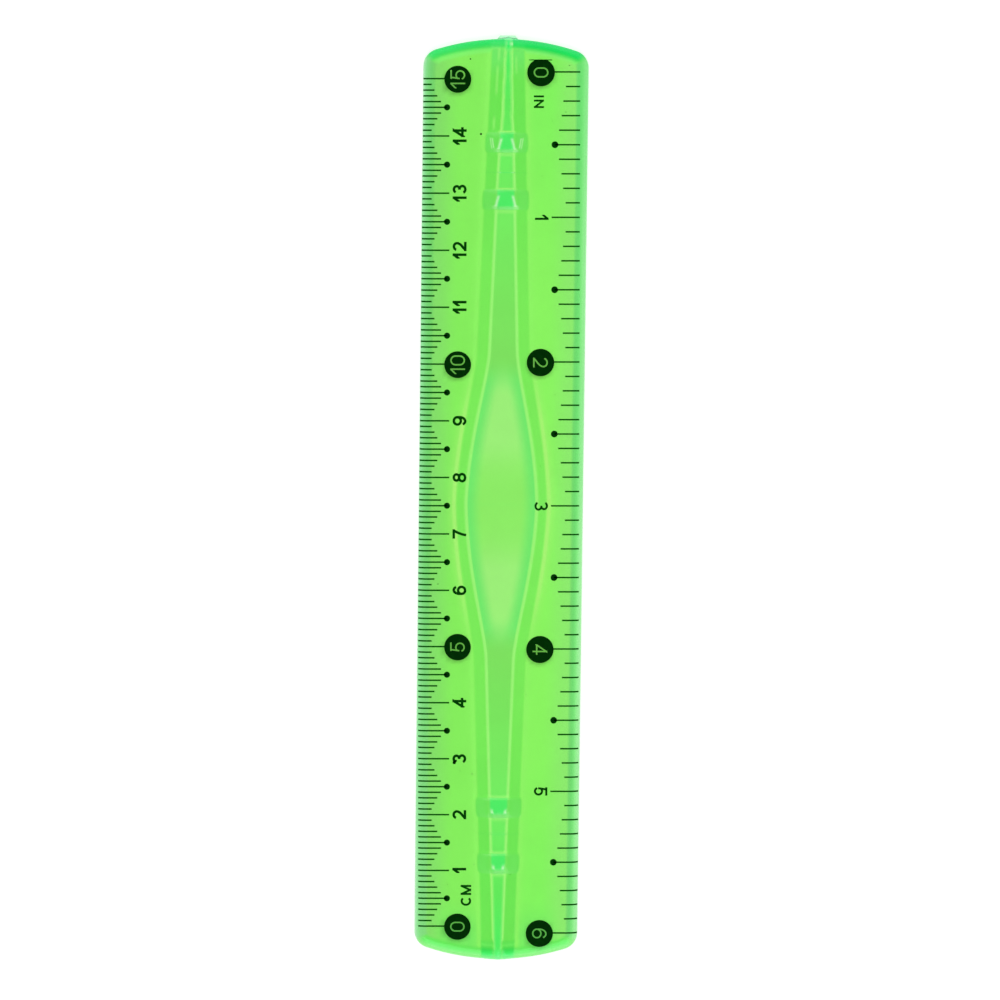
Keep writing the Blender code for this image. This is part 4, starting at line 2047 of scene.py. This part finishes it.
@dataclass
class Printing:
    """The dark printing: two scales on the moulding's face, cut at the seams into one piece for each span."""

    form: RulerForm
    material: bpy.types.Material
    lean: float = math.radians(0.597)
    origin_y: float = -0.75 * MM
    line_width: float = 0.28 * MM
    edge_gap: float = 0.06 * MM
    lift: float = 0.016 * MM
    sink: float = 0.01 * MM
    cell: float = 0.5 * MM
    rim_cell: float = 0.2 * MM
    rim_reach_share: float = 1.2
    disc_corners: int = 64
    dot_corners: int = 24
    speck_corners: int = 9
    disc_join_share: float = 0.98
    flat_share: float = 0.9
    flat_line_shares: Pair = (-0.87, 0.8)
    flat_line_weight: float = 0.6
    glyphs: GlyphCutter = field(default_factory=GlyphCutter)

    def print_disc(self, sheet: PrintSheet, layout: ScaleLayout, value: int) -> None:
        """Print a disc with its number left clear, one of them with a flat printed on its top.

        Args:
            sheet: The sheet to print on.
            layout: The scale.
            value: The number.
        """
        disc = bmesh.new()
        bmesh.ops.create_circle(disc, cap_ends=True, segments=self.disc_corners, radius=layout.disc_radius)
        number = self.glyphs.words(str(value), layout.knocked_out)
        move(number, 0.0, 0.0, layout.turn.value)
        shape = self.glyphs.combine(disc, number, "DIFFERENCE")
        x, y = layout.disc_place(value)
        if value == layout.clipped_disc:
            flat = self.flat_share * layout.disc_radius
            cut(shape, (0.0, flat, 0.0), (0.0, 1.0, 0.0), trim=True)
            start, stop = (x + share * layout.disc_radius for share in self.flat_line_shares)
            sheet.line(start, stop, y + flat, self.flat_line_weight * self.line_width)
        move(shape, x, y)
        sheet.take(shape, Thinness.DISC)

    def print_tenths(self, sheet: PrintSheet, layout: ScaleLayout, value: int) -> None:
        """Print the nine marks between a whole number and the next.

        Args:
            sheet: The sheet to print on.
            layout: The scale.
            value: The whole number.
        """
        for tenth in range(1, 10):
            y = layout.mark_y(value + tenth / 10)
            if tenth == 5:
                reach = layout.datum_x + layout.inward * layout.dot_reach
                sheet.dot(reach, y, layout.dot_radius, self.dot_corners, Thinness.DOT)
            else:
                short = layout.minor_lengths[min(tenth, 10 - tenth) - 1]
                reach = layout.datum_x + layout.inward * short
            sheet.line(layout.datum_x, reach, y, self.line_width)

    def print_scale(self, sheet: PrintSheet, layout: ScaleLayout) -> None:
        """Print one whole scale.

        Args:
            sheet: The sheet to print on.
            layout: The scale.
        """
        for value in range(layout.last + 1):
            y = layout.mark_y(value)
            if value % layout.disc_every == 0:
                self.print_disc(sheet, layout, value)
                reach = layout.disc_x - layout.inward * layout.disc_radius * self.disc_join_share
            else:
                number = self.glyphs.words(str(value), layout.plain)
                move(number, layout.numeral_x, y, layout.turn.value)
                sheet.take(number, Thinness.NUMERAL)
                reach = layout.datum_x + layout.inward * layout.whole_length
            sheet.line(layout.datum_x, reach, y, self.line_width)
            if value < layout.last:
                self.print_tenths(sheet, layout, value)
        word = self.glyphs.words(layout.word, layout.word_look)
        move(word, *layout.word_place, layout.turn.value)
        sheet.take(word, Thinness.WORD)

    def discs(self) -> list[Disc]:
        """Find where the discs lie on the ruler.

        Returns:
            The discs of both scales.
        """
        found = []
        for layout in (CENTIMETRES, INCHES):
            for value in range(0, layout.last + 1, layout.disc_every):
                x, y = layout.disc_place(value)
                along = self.origin_y + x * math.sin(self.lean) + y * math.cos(self.lean)
                across = x * math.cos(self.lean) - y * math.sin(self.lean)
                found.append(Disc(across, along, layout.disc_radius))
        return found

    def sheet(self) -> BMesh:
        """Print both scales and the stray specks of ink where they lie, trimmed to the ruler's edges.

        Returns:
            The whole flat printing.
        """
        sheet = PrintSheet()
        for layout in (CENTIMETRES, INCHES):
            self.print_scale(sheet, layout)
        bm = sheet.bm
        move(bm, 0.0, self.origin_y, self.lean)
        for x, y, radius in SPECKS:
            sheet.dot(x * MM, y * MM, radius * MM, self.speck_corners, Thinness.SPECK)
        edge = self.form.half_width - self.edge_gap
        for side in (-1.0, 1.0):
            cut(bm, (side * edge, 0.0, 0.0), (side, 0.0, 0.0), trim=True)
        return bm

    def cut_cells(self, bm: BMesh, span: Span) -> None:
        """Cut the shapes small enough to follow the moulding's face and its bending.

        Args:
            bm: The flat printing of a span.
            span: The span.
        """
        count = math.ceil((span.stop - span.start) / self.cell)
        for y in even_steps(span.start, span.stop, count)[1:]:
            cut(bm, (0.0, y, 0.0), (0.0, 1.0, 0.0))
        limit = self.form.half_width
        x = -limit + self.rim_cell
        while x < limit:
            cut(bm, (x, 0.0, 0.0), (1.0, 0.0, 0.0))
            over_rim = limit - abs(x) < self.rim_reach_share * self.form.rim_width
            x += self.rim_cell if over_rim else self.cell

    def lay_on_face(self, bm: BMesh) -> None:
        """Give the flat shapes their thickness and lay them on the moulding's face.

        Args:
            bm: The flat printing of a span.
        """
        for vert in bm.verts:
            vert.co.z = 0.0
        made = bmesh.ops.extrude_face_region(bm, geom=bm.faces[:], use_keep_orig=True)["geom"]
        raised = set(verts_in(made))
        for vert in bm.verts:
            height = self.form.height(vert.co.x, vert.co.y)
            vert.co.z = height + (self.lift if vert in raised else -self.sink)
        bmesh.ops.recalc_face_normals(bm, faces=bm.faces[:])

    def build(self, sheet: BMesh, span: Span) -> bpy.types.Object:
        """Lay the printing of one span on its face.

        Args:
            sheet: The whole flat printing.
            span: The span to print.

        Returns:
            The piece.
        """
        bm = sheet.copy()
        if span.end >= 0:
            cut(bm, (0.0, span.start, 0.0), (0.0, -1.0, 0.0), trim=True)
        if span.end <= 0:
            cut(bm, (0.0, span.stop, 0.0), (0.0, 1.0, 0.0), trim=True)
        self.cut_cells(bm, span)
        self.lay_on_face(bm)
        piece = finish_mesh(f"printing_{span.index:02d}", bm, self.material)
        mark_rest_places(piece.data)
        ride_span(piece)
        return piece


# The studio


@dataclass(frozen=True)
class Lamp:
    """A soft square lamp that points at the ruler."""

    name: str
    place: tuple[float, float, float]
    size: float
    power: float

    def build(self) -> None:
        """Hang the lamp."""
        data = bpy.data.lights.new(self.name, "AREA")
        data.size = self.size
        data.energy = self.power
        lamp = link(self.name, data)
        lamp.location = self.place
        lamp.rotation_euler = (-Vector(self.place)).to_track_quat("-Z", "Y").to_euler()


@dataclass
class Studio:
    """A white table, a pale room, soft lamps, and the camera nearly overhead."""

    distance: float = 0.8
    tilt: float = math.radians(4.8)
    roll: float = math.radians(0.674)
    target: tuple[float, float, float] = (-0.16 * MM, 0.105 * MM, 0.0)
    pixels_per_metre: float = 5656.3
    picture: int = 1000
    sensor: float = 36.0
    nearest: float = 10.0 * MM
    table_drop: float = 0.2 * MM
    table_size: float = 30.0
    paper: Colour = (0.82, 0.82, 0.82, 1.0)
    paper_roughness: float = 0.9
    paper_glow: float = 0.6
    room: Colour = (1.0, 1.0, 1.0, 1.0)
    room_light: float = 0.5
    overhead: Fade = Fade(0.45, 0.95)
    overhead_dimming: float = 0.75
    lamps: tuple[Lamp, ...] = (
        Lamp("key_lamp", (0.12, -0.85, 0.95), 1.0, 4.2),
        Lamp("fill_lamp", (-0.5, 0.7, 0.8), 0.8, 1.2),
    )

    def seen(self, nodes: Nodes) -> Socket:
        """Tell rays that show a surface as it looks from those that light others.

        Args:
            nodes: The material's or the room's nodes.

        Returns:
            1 for a ray that shows a surface, 0 for one that lights.
        """
        path = nodes.add("ShaderNodeLightPath").outputs
        either = nodes.maths("MAXIMUM", path["Is Camera Ray"], path["Is Glossy Ray"])
        return nodes.maths("MAXIMUM", either, path["Is Transmission Ray"])

    def table_material(self) -> bpy.types.Material:
        """Make white paper that reads as pure white but keeps the ruler's shadow.

        Returns:
            The material.
        """
        material = bpy.data.materials.new("white_table")
        material.use_nodes = True
        n = Nodes(material.node_tree)
        shader = material.node_tree.nodes["Principled BSDF"]
        shader.inputs["Base Color"].default_value = self.paper
        shader.inputs["Roughness"].default_value = self.paper_roughness
        shader.inputs["Specular IOR Level"].default_value = 0.0
        glow = n.add("ShaderNodeEmission", Strength=n.maths("MULTIPLY", self.seen(n), self.paper_glow))
        lit = n.add("ShaderNodeAddShader")
        n.fill(lit, shader.outputs[0], glow.outputs[0])
        through = n.add("ShaderNodeEmission", Strength=1.0)
        path = n.add("ShaderNodeLightPath").outputs
        joined = n.add("ShaderNodeMixShader")
        n.fill(joined, path["Is Transmission Ray"], lit.outputs[0], through.outputs[0])
        n.put(material.node_tree.nodes["Material Output"].inputs["Surface"], joined.outputs[0])
        return material

    def build_table(self) -> None:
        """Lay the table just under the ruler."""
        bm = bmesh.new()
        bmesh.ops.create_grid(bm, x_segments=1, y_segments=1, size=self.table_size / 2)
        bmesh.ops.translate(bm, vec=(0.0, 0.0, -self.table_drop), verts=bm.verts)
        finish_mesh("white_table", bm, self.table_material())

    def build_room(self) -> None:
        """Light the room: white around, dimmer overhead."""
        world = bpy.data.worlds.new("pale_room")
        world.use_nodes = True
        bpy.context.scene.world = world
        n = Nodes(world.node_tree)
        background = world.node_tree.nodes["Background"]
        background.inputs["Color"].default_value = self.room
        direction = n.add("ShaderNodeTexCoord").outputs["Generated"]
        height = n.add("ShaderNodeSeparateXYZ", Vector=direction).outputs["Z"]
        overhead = n.maths("MULTIPLY", n.spread(height, *self.overhead), self.overhead_dimming)
        shown = n.maths("SUBTRACT", 1.0, overhead)
        lighting = n.maths("SUBTRACT", 1.0, self.seen(n))
        too_bright = n.maths("SUBTRACT", shown, self.room_light)
        strength = n.maths("SUBTRACT", shown, n.maths("MULTIPLY", lighting, too_bright))
        n.put(background.inputs["Strength"], strength)

    def build_camera(self) -> None:
        """Set up the camera nearly overhead, turned so that the ruler leans a little."""
        data = bpy.data.cameras.new("camera")
        data.sensor_width = self.sensor
        data.lens = self.sensor * self.pixels_per_metre * self.distance / self.picture
        data.clip_start = self.nearest
        back = Vector((0.0, math.sin(self.tilt), math.cos(self.tilt)))
        up = Vector((0.0, math.cos(self.tilt), -math.sin(self.tilt)))
        right = up.cross(back)
        turned_right = math.cos(self.roll) * right + math.sin(self.roll) * up
        turned_up = math.cos(self.roll) * up - math.sin(self.roll) * right
        camera = link("camera", data)
        turn = Matrix((turned_right, turned_up, back)).transposed().to_4x4()
        camera.matrix_world = Matrix.Translation(Vector(self.target) + back * self.distance) @ turn
        bpy.context.scene.camera = camera

    def build(self) -> None:
        """Build the whole studio."""
        self.build_table()
        self.build_room()
        for lamp in self.lamps:
            lamp.build()
        self.build_camera()
        bpy.context.scene.view_settings.view_transform = "Standard"


def main() -> None:
    """Build the ruler's looks and its studio."""
    logging.basicConfig(level=logging.INFO, format="%(name)s: %(message)s")
    form = RulerForm()
    effects = Effects()
    spans = SpanPlan(form).spans(frame["joints"])
    printing = Printing(form, InkFinish().build(effects))
    plastic = PlasticMaterial(PlasticFinish(), ToneLayout(), effects).material
    moulding = Moulding(form, plastic, printing.discs())
    pieces = [moulding.build(span) for span in spans]
    sheet = printing.sheet()
    pieces += [printing.build(sheet, span) for span in spans]
    sheet.free()
    for piece in pieces:
        LOG.info("%s: %d faces", piece.name, len(piece.data.polygons))
    Studio().build()


if __name__ == "__main__":
    main()
